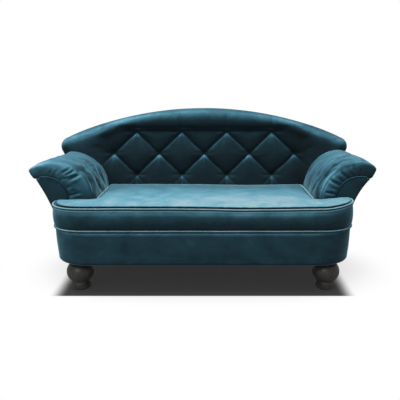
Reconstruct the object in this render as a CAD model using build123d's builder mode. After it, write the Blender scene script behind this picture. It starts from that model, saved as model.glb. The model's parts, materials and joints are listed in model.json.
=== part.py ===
"""A velvet sofa for a small pet, as an assembly of its separate pieces.

It is a wooden box base on four turned feet, a leaning back with a tufted pad and an arched top,
two flared arms with tufted pads, and a loose seat cushion whose two ears lie in front of the arms.
Lengths are in millimetres. +X is to the right seen from the front, -Y is the front and +Z is up.
The origin is on the floor, under the middle of the sofa.
"""

import os
from math import asin, atan2, cos, degrees, radians, sin, sqrt, tan

from build123d import *

# Clearances
rest_gap = 0.3  # between pieces that lie against each other
cushion_play = 3.0  # cushion to arms
overrun = 20.0  # how far a cutter runs past what it cuts

# Seat cushion
arm_room = 112.0  # side of the cushion, between the arms, inside the side of the base
cushion_ear_overhang = 10.0  # side of the ears, in front of the arms, outside it
cushion_depth = 394.0
cushion_ear_depth = 126.0
cushion_front_radius = 105.0
cushion_corner_radius = 14.0
cushion_thickness = 70.0
cushion_edge_rise = 5.0  # rounded edge of the top, above its seam
cushion_edge_round = 4.6
cushion_crown = 7.5  # further rise between the arms
cushion_crown_start = 16.0  # where it starts, in from the seam
cushion_crown_run = 105.0  # and how far in it goes on rising
crown_run_share = 0.33  # where its slope eases, of its run and of its rise
crown_rise_share = 0.62
cushion_cover_thickness = 7.0  # velvet with its fibre wrap
boxing_bulge = 3.0  # how far the boxing swells between its seams
boxing_flat = 34.0  # flat band in the middle of the boxing
piping_proud = 1.0
piping_radius = 3.0

# Zip on the rear boxing of the cushion
zip_end = 48.0  # from the side of the cushion to the end of the tape
zip_tape_width = 26.0
zip_tape_thickness = 0.8
zip_slit = 1.0
zip_coil_width = 2.2
zip_coil_thickness = 1.5
zip_stop = 12.0  # from the end of the tape to the slider, closed
zip_slider_length = 10.0
zip_slider_plate = 1.4
zip_lip = 1.5
zip_bar_radius = 0.9
zip_bar_rise = 3.0  # bar centre above the slider's plate
zip_ear_radius = 1.4
zip_ear_thickness = 1.0
zip_pull_eye_radius = 2.3
zip_pull_eye_length = 3.4
zip_pull_length = 17.0
zip_pull_half_width = 3.5
zip_pull_thickness = 1.2
zip_pull_neck = 2.4
zip_running_gap = 0.25
zip_passing_gap = 1.5

# Base
foot_height = 93.0
base_height = 98.0
base_half_width = 440.0
base_front_setback = 8.0  # front of the base behind the front of the cushion, at its bottom
base_corner_radius = 110.0
base_flare = 6.0  # how much further out the base stands at its top
base_cover_thickness = 5.0
rail_thickness = 18.0
corner_former_thickness = 9.0
deck_thickness = 12.0
deck_cloth_thickness = 1.2
dust_cover_thickness = 1.2
bearer_height = 60.0

# Feet
foot_setback = 78.0  # foot centre behind the front of the cushion
foot_inset = 68.0  # foot centre inside the base's side
glide_radius = 20.0
glide_height = 3.0
foot_base_radius = 29.5
foot_base_height = 20.0
foot_base_round = 4.0
foot_neck_radius = 26.5
foot_neck_height = 4.0
foot_ball_radius = 40.5
foot_ball_height = 56.0
foot_collar_radius = 29.0
block_size = 64.0
block_height = 40.0
bolt_radius = 4.0
bolt_length = 74.0
bolt_clearance = 0.15
nut_barrel_radius = 5.5
nut_barrel_length = 9.0
nut_flange_radius = 11.0
nut_flange_thickness = 1.5

# Back, measured up its slope from the deck
back_lean = 8.0  # degrees
back_height = 325.0
back_overhang = 81.0  # outside the side of the base, where the arch would meet the side
back_arch_radius = 1190.0
back_side_bow = 15.0
back_foot_overhang = 3.0
back_corner_radius = 33.0
back_edge_radius = 31.0
back_panel_inset = 4.0
back_panel_thickness = 5.0
back_post_thickness = 25.0
back_post_width = 40.0
back_post_share = 1.75  # post's place, of the space between tufts
back_post_height = 200.0
back_board_thickness = 9.0
back_board_inset = 16.0
back_foam_thickness = 30.0
tuft_pad_thickness = 32.0
roll_proud = 17.0  # how far the smooth border stands in front of the tufted field
roll_core_height = 26.0
roll_core_thickness = 22.0
roll_core_inset = 22.0
roll_core_half_angle = 20.0  # degrees
crease_gap = 5.0  # cushion to the tufted field
crevice_depth = 25.5  # pocket behind the cushion for its zip
crevice_height = 50.0
crevice_slope = 20.0

# Tufts on the back
tuft_row_spacing = 76.0
tuft_middle_drop = 160.0  # middle row below the top of the back
field_inset = 102.0  # side of the tufted field inside the side of the base
field_side = 22.0  # from its outer tufts to its side
field_drop = 78.0  # top of the tufted field below the top of the back
field_arch = 32.0  # how much lower the field's top is at its ends
field_border = 26.0
tuft_depth = 23.0
tuft_radius = 20.0
pleat_depth = 19.0
pleat_half_width = 46.0
pleat_neck = 9.0
pleat_shoulder = 9.0
pleat_rise = 2.0
roll_pleat_depth = 9.0
roll_pleat_half_width = 12.0
roll_pleat_neck = 3.0
roll_pleat_shoulder = 5.0
roll_pleat_rise = 13.0
roll_pleat_length = 72.0
tie_radius = 1.0
tie_clearance = 0.4
tie_knot_rise = 5.0  # end of the twine above the floor of its tuft
tie_washer_radius = 9.0
tie_washer_thickness = 1.5

# Arms
arm_board_radius = 73.0
arm_pad_thickness = 57.0
arm_bend_height = 69.0  # centre of the bend above the deck
arm_tip_reach = 46.0  # tip beyond the centre of the bend
arm_tip_drop = 6.0  # tip below the crest of the board
arm_nose_reach = 14.0
arm_nose_thickness = 32.0
arm_nose_bulge = 6.0
arm_pad_round = 24.0
arm_foam_thickness = 30.0
arm_foam_setback = 20.0
arm_board_thickness = 4.0
arm_panel_thickness = 4.0
arm_facing_thickness = 6.5
arm_flare_bow = 12.0
former_thickness = 12.0
arm_rail_size = 16.0
arm_rail_inset = 25.0  # tip rail's outer side from the tip
facing_recess = 3.0

# Tufts on the arms, as angles round the bend and distances from the arm's front
arm_tuft_upper_angle = 58.0
arm_tuft_middle_angle = 34.0
arm_tuft_lower_angle = 10.0
arm_tuft_first = 34.0
arm_tuft_spacing = 100.0
arm_tuft_depth = 14.0
arm_tuft_radius = 13.0
arm_pleat_depth = 11.0
arm_pleat_half_width = 24.0
arm_pleat_neck = 5.0
arm_pleat_shoulder = 5.0
arm_pleat_rise = 4.0
gather_angles = (4.0, 26.0, 48.0, 70.0)
gather_depth = 6.0
gather_half_width = 9.0
gather_neck = 2.5
gather_shoulder = 3.0
gather_length = 40.0

# Brackets and screws
bracket_width = 18.0
bracket_thickness = 2.0
bracket_leg = 36.0
bracket_hole_share = 0.65  # hole's place along a leg
bracket_screw_radius = 1.75
bracket_screw_length = 12.0  # with the bracket
bracket_screw_head_radius = 3.5
bracket_screw_head_thickness = 1.2
deck_screw_radius = 2.0
deck_screw_length = 38.0
deck_screw_head_radius = 4.0
deck_screw_head_depth = 2.4
screw_clearance = 0.1
deck_screw_spacing = 210.0

# Sizes that follow the base's width and the back's height
cushion_half_width = base_half_width - arm_room
cushion_ear_half_width = base_half_width + cushion_ear_overhang
zip_half_length = cushion_half_width - zip_end
back_half_width = base_half_width + back_overhang
back_foot_half_width = base_half_width + back_foot_overhang
field_half_width = base_half_width - field_inset
tuft_spacing = (field_half_width - field_side) / 2
tuft_middle_row = back_height - tuft_middle_drop
field_top = back_height - field_drop

# Levels
base_bottom = foot_height
frame_bottom = base_bottom + dust_cover_thickness + rest_gap
deck_top = foot_height + base_height
rail_top = deck_top - deck_thickness
seat_bottom = deck_top + deck_cloth_thickness + rest_gap
seat_seam = seat_bottom + cushion_thickness
zip_level = seat_bottom + cushion_thickness / 2

# Depths through the back, from its rear face
post_back = back_panel_thickness + rest_gap
board_back = post_back + back_post_thickness
foam_back = board_back + back_board_thickness
pad_back = foam_back + back_foam_thickness
field_front = pad_back + tuft_pad_thickness
roll_front = field_front + roll_proud

# Front and back of the whole sofa
lean_sin = sin(radians(back_lean))
lean_cos = cos(radians(back_lean))
lean_tan = tan(radians(back_lean))
field_rise = (seat_seam - deck_top) * lean_tan
behind_cushion = crease_gap - field_rise + field_front / lean_cos
overall_depth = cushion_depth + behind_cushion + back_height * lean_sin
front_y = -overall_depth / 2
cushion_rear_y = front_y + cushion_depth
base_rear_y = cushion_rear_y + behind_cushion
base_front_y = front_y + base_front_setback
ear_rear_y = front_y + cushion_ear_depth
arm_front_y = ear_rear_y + cushion_play
arm_rear_y = base_rear_y
back_plane = Plane(
    origin=(0, base_rear_y, deck_top), x_dir=(1, 0, 0), z_dir=(0, -lean_cos, lean_sin)
)

# The arm's bend, seen from the front
arm_face_x = cushion_half_width + cushion_play
arm_bend_x = arm_face_x + arm_board_radius + arm_pad_thickness
arm_bend_z = deck_top + arm_bend_height
arm_tip_x = arm_bend_x + arm_tip_reach
arm_tip_z = arm_bend_z + arm_board_radius - arm_tip_drop
board_top_radius = (arm_tip_reach**2 + arm_tip_drop**2) / (2 * arm_tip_drop)
board_under_radius = board_top_radius - arm_board_thickness
piping_out = rest_gap / 2  # the arm's piping lies between its facing and its pad
piping_y = arm_front_y + piping_radius - piping_proud
board_top_centre = arm_bend_z + arm_board_radius - board_top_radius

# Layers of the zip, from the cushion's boxing out to the bar of its slider
tape_y = cushion_rear_y + zip_tape_thickness
coil_y = tape_y + zip_coil_thickness
plate_y = coil_y + zip_running_gap
plate_top_y = plate_y + zip_slider_plate
bar_y = plate_top_y + zip_bar_rise

# Circles of the concave sides
arch_centre = back_height - back_arch_radius
back_shoulder = arch_centre + sqrt(back_arch_radius**2 - back_half_width**2)
middle_plane = Plane.YZ  # each left piece is the right one mirrored here


def keep(builder, label):
    """Names a finished piece and writes it."""
    builder.part.label = label
    export_step(builder.part, f"parts/{label}.step")


def keep_pair(builder, label):
    """Writes a piece of the right side, and its mirror image for the left."""
    with BuildPart() as other:
        mirror(builder.part, about=middle_plane)
    keep(builder, f"{label}_right")
    keep(other, f"{label}_left")


def seat_plan(inset, level):
    """The T shape of the cushion, from above, drawn in by inset."""
    side = cushion_half_width - inset
    ear = cushion_ear_half_width - inset
    front = front_y + inset
    notch = ear_rear_y - inset
    rear = cushion_rear_y - inset
    with BuildSketch(Plane.XY.offset(level)) as plan:
        with BuildLine():
            Polyline(
                (-ear, front), (ear, front), (ear, rear), (-ear, rear), close=True
            )
        make_face()
        fillet(plan.vertices().group_by(Axis.Y)[0], cushion_front_radius - inset)
        with Locations((side, notch)):
            Rectangle(
                2 * ear, cushion_depth, align=(Align.MIN, Align.MIN), mode=Mode.SUBTRACT
            )
        with Locations((-side, notch)):
            Rectangle(
                2 * ear, cushion_depth, align=(Align.MAX, Align.MIN), mode=Mode.SUBTRACT
            )
        corners = plan.vertices().filter_by(lambda v: v.Y > notch - rest_gap)
        inner = corners.group_by(Axis.Y)[0].sort_by(lambda v: abs(v.X))[:2]
        outer = [v for v in corners if v not in inner]
        fillet(inner, cushion_corner_radius + inset)
        if cushion_corner_radius > inset + rest_gap:
            fillet(outer, cushion_corner_radius - inset)
    return plan.sketch


def half_seam(inset, level):
    """The right half of the cushion's seam, drawn in by inset, as a path for a cord."""
    side = cushion_half_width - inset
    ear = cushion_ear_half_width - inset
    front = front_y + inset
    notch = ear_rear_y - inset
    rear = cushion_rear_y - inset
    points = ((0, rear), (side, rear), (side, notch), (ear, notch), (ear, front), (0, front))
    with BuildLine(Plane.XY.offset(level)) as seam:
        FilletPolyline(
            *points,
            radius=(
                cushion_corner_radius - inset,
                cushion_corner_radius + inset,
                cushion_corner_radius - inset,
                cushion_front_radius - inset,
            ),
        )
    return seam.line


def base_plan(inset, level):
    """The base from above, drawn in by inset, with its two round front corners."""
    half = base_half_width - inset
    front = base_front_y + inset
    rear = base_rear_y - inset
    with BuildSketch(Plane.XY.offset(level)) as plan:
        with BuildLine():
            Polyline(
                (-half, front), (half, front), (half, rear), (-half, rear), close=True
            )
        make_face()
        fillet(plan.vertices().group_by(Axis.Y)[0], base_corner_radius - inset)
    return plan.sketch


def back_shape(inset, depth):
    """The arched outline of the back, on a plane that lies depth in front of its rear face."""
    with BuildSketch(back_plane.offset(depth)) as shape:
        with Locations((0, arch_centre)):
            Circle(back_arch_radius - inset)
        with Locations((0, -overrun)):
            Rectangle(
                2 * back_half_width + overrun,
                back_height + overrun,
                align=(Align.CENTER, Align.MIN),
                mode=Mode.INTERSECT,
            )
        with Locations((side_bow_x, side_bow_v), (-side_bow_x, side_bow_v)):
            Circle(side_bow_radius + inset, mode=Mode.SUBTRACT)
        fillet(shape.vertices().group_by(Axis.Y)[-1], back_corner_radius - inset)
    return shape.sketch


def bow_circle(low, high, bow):
    """Centre and radius of the circle whose arc, bowed to the left, joins low to high."""
    run = high[0] - low[0]
    rise = high[1] - low[1]
    chord = sqrt(run**2 + rise**2)
    radius = (chord**2 / 4 + bow**2) / (2 * bow)
    reach = (radius - bow) / chord
    middle = ((low[0] + high[0]) / 2, (low[1] + high[1]) / 2)
    return (middle[0] + rise * reach, middle[1] - run * reach), radius


def trim_to_deck():
    """Cuts the piece in hand level with the top of the deck."""
    split(bisect_by=Plane.XY.offset(deck_top + rest_gap), keep=Keep.TOP)


def on_back(across, up, depth):
    """A point of the back, as a vector."""
    return back_plane.offset(depth).from_local_coords(Vector(across, up, 0))


def cut_valley(start, end, across, out, shape, rise):
    """Cuts a sewn valley from start to end, steep at its floor and shallow at its sides."""
    half_width, neck, shoulder, depth = shape
    along = end - start
    reach = half_width + (half_width - neck) * rise / shoulder
    with BuildSketch(
        Plane(origin=start, x_dir=across, z_dir=across.cross(out))
    ) as valley:
        with BuildLine():
            Polyline(
                (0, -depth),
                (neck, -shoulder),
                (reach, rise),
                (-reach, rise),
                (-neck, -shoulder),
                close=True,
            )
        make_face()
    extrude(valley.sketch, amount=along.length, dir=along, mode=Mode.SUBTRACT)


def cut_dimple(point, out, radius, depth, rise, floor):
    """Cuts the cone of a tuft, down to a small floor."""
    bottom = Plane(origin=point - out * depth, z_dir=out)
    with BuildSketch(bottom) as tip:
        Circle(floor)
    with BuildSketch(bottom.offset(depth + rise)) as rim:
        Circle(radius * (depth + rise) / depth)
    loft([tip.face(), rim.face()], ruled=True, mode=Mode.SUBTRACT)


def arm_point(radius, angle):
    """A point of the arm's section, at an angle round the bend from its inner face."""
    turn = radians(angle)
    return (arm_bend_x - radius * cos(turn), arm_bend_z + radius * sin(turn))


def arm_fan(out):
    """Where the layer that lies out beyond the arm's board ends, at the arm's tip."""
    share = out / arm_pad_thickness
    return (arm_tip_x + arm_nose_reach * share, arm_tip_z + arm_nose_thickness * share)


def arm_edge(out, low):
    """Draws one side of a layer of the arm: up the inner face, round the bend and to the tip."""
    radius = arm_board_radius + out
    foot = (arm_bend_x - radius, low)
    bend = arm_point(radius, 0)
    crest = arm_point(radius, 90)
    tip = arm_fan(out)
    reach = tip[0] - crest[0]
    drop = crest[1] - tip[1]
    top_radius = (reach**2 + drop**2) / (2 * drop)
    turn = asin(reach / top_radius) / 2
    middle = (
        crest[0] + top_radius * sin(turn),
        crest[1] - top_radius * (1 - cos(turn)),
    )
    Line(foot, bend)
    ThreePointArc(bend, arm_point(radius, 45), crest)
    ThreePointArc(crest, middle, tip)
    return foot


def arm_layer(inner, outer, y, nose=False):
    """A layer of the arm's section, between two distances out from the face of its board."""
    low = deck_top + rest_gap
    with BuildSketch(Plane.XZ.offset(-y)) as layer:
        with BuildLine():
            inner_foot = arm_edge(inner, low)
            outer_foot = arm_edge(outer, low)
            Line(inner_foot, outer_foot)
            if nose:
                tip = arm_fan((inner + outer) / 2)
                ThreePointArc(
                    arm_fan(inner), (tip[0] + arm_nose_bulge, tip[1]), arm_fan(outer)
                )
            else:
                Line(arm_fan(inner), arm_fan(outer))
        make_face()
    return layer.sketch


def arm_body(out, inset, y, low):
    """The arm's section under a layer, with its flared outer side drawn in by inset."""
    with BuildSketch(Plane.XZ.offset(-y)) as body:
        with BuildLine():
            foot = arm_edge(out, low)
            tip = arm_fan(out)
            Polyline(tip, (tip[0] + overrun, tip[1]), (tip[0] + overrun, low), foot)
        make_face()
        with Locations(flare_centre):
            Circle(flare_radius + inset, mode=Mode.SUBTRACT)
    return body.sketch


def cut_back_from_arm():
    """Cuts away what an arm's piece would have inside the back."""
    contact = base_rear_y - (roll_front + rest_gap) / lean_cos
    rise = 2 * back_height
    with BuildSketch(Plane.YZ) as block:
        with BuildLine():
            Polyline(
                (contact, deck_top),
                (contact + rise * lean_tan, deck_top + rise),
                (base_rear_y + rise, deck_top + rise),
                (base_rear_y + rise, deck_top),
                close=True,
            )
        make_face()
    extrude(block.sketch, amount=2 * back_half_width, mode=Mode.SUBTRACT)


def sweep_cord(path, radius, mode=Mode.ADD):
    """Sweeps a round cord along a path."""
    with BuildSketch(Plane(origin=path @ 0, z_dir=path % 0)) as section:
        Circle(radius)
    sweep(section.sketch, path=path, mode=mode)


(side_bow_x, side_bow_v), side_bow_radius = bow_circle(
    (back_foot_half_width, 0), (back_half_width, back_shoulder), back_side_bow
)
flare_centre, flare_radius = bow_circle(
    (base_half_width + base_flare, deck_top), (arm_tip_x, arm_tip_z), arm_flare_bow
)

os.makedirs("parts", exist_ok=True)

# Feet, with their glides, hanger bolts and nuts
rail_out_x = base_half_width - base_cover_thickness - rest_gap
rail_in_x = rail_out_x - rail_thickness
front_rail_y = base_front_y + base_cover_thickness + rest_gap
rear_rail_y = base_rear_y - base_cover_thickness - rest_gap - rail_thickness
foot_x = base_half_width - foot_inset
front_foot_y = front_y + foot_setback
rear_foot_y = rear_rail_y - rest_gap - block_size / 2
foot_places = {
    "front_left_foot": (-foot_x, front_foot_y),
    "front_right_foot": (foot_x, front_foot_y),
    "rear_left_foot": (-foot_x, rear_foot_y),
    "rear_right_foot": (foot_x, rear_foot_y),
}
foot_top = frame_bottom
neck_bottom = glide_height + foot_base_height
ball_bottom = neck_bottom + foot_neck_height
ball_top = ball_bottom + foot_ball_height
bolt_bottom = foot_top - bolt_length / 2
nut_top = frame_bottom + block_height + nut_flange_thickness

for label, (x, y) in foot_places.items():
    with BuildPart() as foot:
        with BuildSketch(Plane.XZ.offset(-y)):
            with BuildLine():
                Polyline(
                    (x, ball_bottom),
                    (x, glide_height),
                    (x + foot_base_radius - foot_base_round, glide_height),
                    (x + foot_base_radius, glide_height + foot_base_round),
                    (x + foot_base_radius, neck_bottom - foot_base_round),
                    (x + foot_neck_radius, neck_bottom),
                    (x + foot_neck_radius, ball_bottom),
                )
                ThreePointArc(
                    (x + foot_neck_radius, ball_bottom),
                    (x + foot_ball_radius, (ball_bottom + ball_top) / 2),
                    (x + foot_neck_radius, ball_top),
                )
                Polyline(
                    (x + foot_neck_radius, ball_top),
                    (x + foot_collar_radius, ball_top),
                    (x + foot_collar_radius, foot_top),
                    (x, foot_top),
                    (x, ball_bottom),
                )
            make_face()
        revolve(axis=Axis((x, y, 0), (0, 0, 1)))
        with Locations((x, y, bolt_bottom)):
            Cylinder(
                bolt_radius + bolt_clearance,
                bolt_length,
                align=(Align.CENTER, Align.CENTER, Align.MIN),
                mode=Mode.SUBTRACT,
            )
    keep(foot, label)

with BuildPart() as foot_glides:
    for x, y in foot_places.values():
        with Locations((x, y, 0)):
            Cylinder(
                glide_radius,
                glide_height,
                align=(Align.CENTER, Align.CENTER, Align.MIN),
            )
keep(foot_glides, "foot_glides")

with BuildPart() as foot_bolts:
    for x, y in foot_places.values():
        with Locations((x, y, bolt_bottom)):
            Cylinder(
                bolt_radius, bolt_length, align=(Align.CENTER, Align.CENTER, Align.MIN)
            )
keep(foot_bolts, "foot_bolts")

with BuildPart() as foot_nuts:
    for x, y in foot_places.values():
        with Locations((x, y, nut_top)):
            Cylinder(
                nut_flange_radius,
                nut_flange_thickness,
                align=(Align.CENTER, Align.CENTER, Align.MAX),
            )
            Cylinder(
                nut_barrel_radius,
                nut_barrel_length,
                align=(Align.CENTER, Align.CENTER, Align.MAX),
            )
            Cylinder(
                bolt_radius + bolt_clearance,
                nut_barrel_length,
                align=(Align.CENTER, Align.CENTER, Align.MAX),
                mode=Mode.SUBTRACT,
            )
keep(foot_nuts, "foot_nuts")

block_reach = base_cover_thickness + rail_thickness + 2 * rest_gap
with BuildPart() as corner_blocks:
    with BuildSketch(Plane.XY.offset(frame_bottom)) as blocks:
        for x, y in foot_places.values():
            side = Align.MIN if x > 0 else Align.MAX
            end = Align.MIN if y > 0 else Align.MAX
            corner = (
                x - block_size / 2 if x > 0 else x + block_size / 2,
                y - block_size / 2 if y > 0 else y + block_size / 2,
            )
            with Locations(corner):
                Rectangle(2 * block_size, 2 * block_size, align=(side, end))
        add(base_plan(block_reach, frame_bottom), mode=Mode.INTERSECT)
    extrude(blocks.sketch, amount=block_height)
    for x, y in foot_places.values():
        with Locations((x, y, frame_bottom)):
            Cylinder(
                nut_barrel_radius + bolt_clearance,
                block_height,
                align=(Align.CENTER, Align.CENTER, Align.MIN),
                mode=Mode.SUBTRACT,
            )
keep(corner_blocks, "corner_blocks")

# Wooden base
rail_height = rail_top - frame_bottom
corner_x = base_half_width - base_corner_radius
corner_y = base_front_y + base_corner_radius
low_corner = (Align.MIN, Align.MIN, Align.MIN)
screw_xs = (-deck_screw_spacing, 0, deck_screw_spacing)
screw_ys = (front_rail_y + rail_thickness / 2, rear_rail_y + rail_thickness / 2)


def cut_deck_screws(radius):
    """Bores the piece in hand for the deck's screws."""
    for x in screw_xs:
        for y in screw_ys:
            with Locations((x, y, deck_top + overrun)):
                Cylinder(
                    radius,
                    deck_screw_length + overrun,
                    align=(Align.CENTER, Align.CENTER, Align.MAX),
                    mode=Mode.SUBTRACT,
                )


with BuildPart() as front_rail:
    with Locations((-corner_x, front_rail_y, frame_bottom)):
        Box(2 * corner_x, rail_thickness, rail_height, align=low_corner)
    cut_deck_screws(deck_screw_radius + screw_clearance)
keep(front_rail, "front_rail")

with BuildPart() as rear_rail:
    with Locations((rest_gap - rail_in_x, rear_rail_y, frame_bottom)):
        Box(2 * (rail_in_x - rest_gap), rail_thickness, rail_height, align=low_corner)
    cut_deck_screws(deck_screw_radius + screw_clearance)
keep(rear_rail, "rear_rail")

with BuildPart() as side_rail:
    with Locations((rail_in_x, corner_y + rest_gap, frame_bottom)):
        Box(
            rail_thickness,
            rear_rail_y + rail_thickness - corner_y - rest_gap,
            rail_height,
            align=low_corner,
        )
keep_pair(side_rail, "side_rail")

former_out = base_corner_radius - base_cover_thickness - rest_gap
with BuildPart() as corner_former:
    with BuildSketch(Plane.XY.offset(frame_bottom)):
        with Locations((corner_x, corner_y)):
            Circle(former_out)
            Circle(former_out - corner_former_thickness, mode=Mode.SUBTRACT)
            Rectangle(
                base_corner_radius,
                base_corner_radius,
                align=(Align.MIN, Align.MAX),
                mode=Mode.INTERSECT,
            )
    extrude(amount=rail_height)
    with Locations((corner_x, corner_y, frame_bottom)):
        Box(
            rest_gap,
            base_corner_radius,
            rail_height,
            align=(Align.MIN, Align.MAX, Align.MIN),
            mode=Mode.SUBTRACT,
        )
keep_pair(corner_former, "corner_former")

with BuildPart() as centre_bearer:
    bearer_front = front_rail_y + rail_thickness + rest_gap
    with Locations((-rail_thickness / 2, bearer_front, rail_top - bearer_height)):
        Box(
            rail_thickness,
            rear_rail_y - rest_gap - bearer_front,
            bearer_height,
            align=low_corner,
        )
keep(centre_bearer, "centre_bearer")

with BuildPart() as deck_screws:
    for x in screw_xs:
        for y in screw_ys:
            with Locations((x, y, deck_top)):
                Cylinder(
                    deck_screw_head_radius,
                    deck_screw_head_depth,
                    align=(Align.CENTER, Align.CENTER, Align.MAX),
                )
                Cylinder(
                    deck_screw_radius,
                    deck_screw_length,
                    align=(Align.CENTER, Align.CENTER, Align.MAX),
                )
keep(deck_screws, "deck_screws")

with BuildPart() as deck_cloth:
    with BuildSketch(Plane.XY.offset(deck_top)):
        add(seat_plan(0, deck_top))
        add(
            base_plan(base_cover_thickness + rest_gap, deck_top),
            mode=Mode.INTERSECT,
        )
    extrude(amount=deck_cloth_thickness)
keep(deck_cloth, "deck_cloth")

with BuildPart() as dust_cover:
    extrude(
        base_plan(base_cover_thickness + rest_gap, base_bottom),
        amount=dust_cover_thickness,
    )
    for x, y in foot_places.values():
        with Locations((x, y, base_bottom)):
            Cylinder(
                foot_collar_radius + rest_gap,
                overrun,
                mode=Mode.SUBTRACT,
            )
keep(dust_cover, "dust_cover")

base_taper = degrees(atan2(base_flare, base_height))
with BuildPart() as base_front_cover:
    extrude(base_plan(0, base_bottom), amount=base_height, taper=-base_taper)
    extrude(
        base_plan(base_cover_thickness, base_bottom),
        amount=base_height,
        mode=Mode.SUBTRACT,
    )
    split(bisect_by=Plane.XZ.offset(-arm_front_y), keep=Keep.TOP)
keep(base_front_cover, "base_front_cover")

with BuildPart() as base_rear_cover:
    with Locations((-rail_out_x, base_rear_y - base_cover_thickness, base_bottom)):
        Box(2 * rail_out_x, base_cover_thickness, base_height, align=low_corner)
keep(base_rear_cover, "base_rear_cover")

# Back, from its rear panel to its tufted pad
with BuildPart() as back_outer_panel:
    extrude(back_shape(back_panel_inset, 0), amount=back_panel_thickness)
    trim_to_deck()
keep(back_outer_panel, "back_outer_panel")

post_places = {
    "back_post_left": -back_post_share * tuft_spacing,
    "back_post_right": back_post_share * tuft_spacing,
}
post_front_y = base_rear_y - (post_back + back_post_thickness) / lean_cos
bracket_y = (
    post_front_y + bracket_leg * lean_tan + base_rear_y - post_back / lean_cos
) / 2
bracket_hole = bracket_hole_share * bracket_leg
bracket_places = []
for post_x in post_places.values():
    for side in (-1, 1):
        bracket_places.append((post_x + side * back_post_width / 2, side))


def cut_bracket_screws(radius):
    """Bores the piece in hand for the screws of the brackets."""
    for x, side in bracket_places:
        deck_hole = Plane(
            origin=(x + side * bracket_hole, bracket_y, deck_top + overrun),
            z_dir=(0, 0, -1),
        )
        post_hole = Plane(
            origin=(x + side * overrun, bracket_y, deck_top + bracket_hole),
            z_dir=(-side, 0, 0),
        )
        depth = bracket_screw_length - bracket_thickness + overrun
        for hole in (deck_hole, post_hole):
            with BuildSketch(hole) as bore:
                Circle(radius)
            extrude(bore.sketch, amount=depth, mode=Mode.SUBTRACT)


for label, x in post_places.items():
    with BuildPart() as back_post:
        with BuildSketch(back_plane.offset(post_back)) as post:
            with Locations((x, -overrun)):
                Rectangle(
                    back_post_width,
                    back_post_height + overrun,
                    align=(Align.CENTER, Align.MIN),
                )
        extrude(post.sketch, amount=back_post_thickness - rest_gap)
        trim_to_deck()
        cut_bracket_screws(bracket_screw_radius + screw_clearance)
    keep(back_post, label)

with BuildPart() as deck:
    extrude(
        base_plan(base_cover_thickness + rest_gap, rail_top), amount=deck_thickness
    )
    cut_deck_screws(deck_screw_radius + screw_clearance)
    for x in screw_xs:
        for y in screw_ys:
            with Locations((x, y, deck_top)):
                Cylinder(
                    deck_screw_head_radius + screw_clearance,
                    deck_screw_head_depth + screw_clearance,
                    align=(Align.CENTER, Align.CENTER, Align.MAX),
                    mode=Mode.SUBTRACT,
                )
    cut_bracket_screws(bracket_screw_radius + screw_clearance)
keep(deck, "deck")

with BuildPart() as back_brackets:
    for x, side in bracket_places:
        with BuildSketch(Plane.XZ.offset(bracket_width / 2 - bracket_y)) as angle:
            with BuildLine():
                Polyline(
                    (x, deck_top),
                    (x + side * bracket_leg, deck_top),
                    (x + side * bracket_leg, deck_top + bracket_thickness),
                    (x + side * bracket_thickness, deck_top + bracket_thickness),
                    (x + side * bracket_thickness, deck_top + bracket_leg),
                    (x, deck_top + bracket_leg),
                    close=True,
                )
            make_face()
        extrude(angle.sketch, amount=-bracket_width)
    cut_bracket_screws(bracket_screw_radius + screw_clearance)
keep(back_brackets, "back_brackets")

with BuildPart() as bracket_screws:
    for x, side in bracket_places:
        deck_face = Plane(
            origin=(x + side * bracket_hole, bracket_y, deck_top + bracket_thickness),
            z_dir=(0, 0, -1),
        )
        post_face = Plane(
            origin=(
                x + side * bracket_thickness,
                bracket_y,
                deck_top + bracket_hole,
            ),
            z_dir=(-side, 0, 0),
        )
        for face in (deck_face, post_face):
            with BuildSketch(face) as shank:
                Circle(bracket_screw_radius)
            extrude(shank.sketch, amount=bracket_screw_length)
            with BuildSketch(face) as head:
                Circle(bracket_screw_head_radius)
            extrude(head.sketch, amount=-bracket_screw_head_thickness)
keep(bracket_screws, "bracket_screws")

tie_bore = tie_radius + tie_clearance
tufts = []
for row in (-1, 0, 1):
    count = 5 if row == 0 else 4
    for number in range(count):
        across = (number - (count - 1) / 2) * tuft_spacing
        tufts.append((across, tuft_middle_row + row * tuft_row_spacing))


def bore_for_ties(radius, low, high):
    """Bores the piece in hand for the twine of each tuft, between two depths of the back."""
    with BuildSketch(back_plane.offset(low)) as holes:
        with Locations(*tufts):
            Circle(radius)
    extrude(holes.sketch, amount=high - low, mode=Mode.SUBTRACT)


with BuildPart() as back_board:
    extrude(back_shape(back_board_inset, board_back), amount=back_board_thickness)
    trim_to_deck()
    bore_for_ties(tie_bore, board_back - overrun, foam_back + overrun)
keep(back_board, "back_board")

with BuildPart() as back_foam:
    extrude(back_shape(back_board_inset, foam_back), amount=back_foam_thickness)
    trim_to_deck()
    bore_for_ties(tie_bore, foam_back - overrun, pad_back + overrun)
keep(back_foam, "back_foam")

core_top = back_arch_radius - roll_core_inset


def roll_core(grow):
    """The foam strip inside the rolled top: a ring sector round the centre of the arch."""
    half = core_top * sin(radians(roll_core_half_angle)) + grow
    with BuildSketch(back_plane.offset(pad_back + rest_gap - grow)) as strip:
        with Locations((0, arch_centre)):
            Circle(core_top + grow)
            Circle(core_top - roll_core_height - grow, mode=Mode.SUBTRACT)
            Rectangle(
                2 * half,
                2 * core_top,
                align=(Align.CENTER, Align.MIN),
                mode=Mode.INTERSECT,
            )
    extrude(strip.sketch, amount=roll_core_thickness + 2 * grow)


with BuildPart() as back_roll_core:
    roll_core(0)
keep(back_roll_core, "back_roll_core")

with BuildPart() as roll_core_room:
    roll_core(rest_gap)

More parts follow.
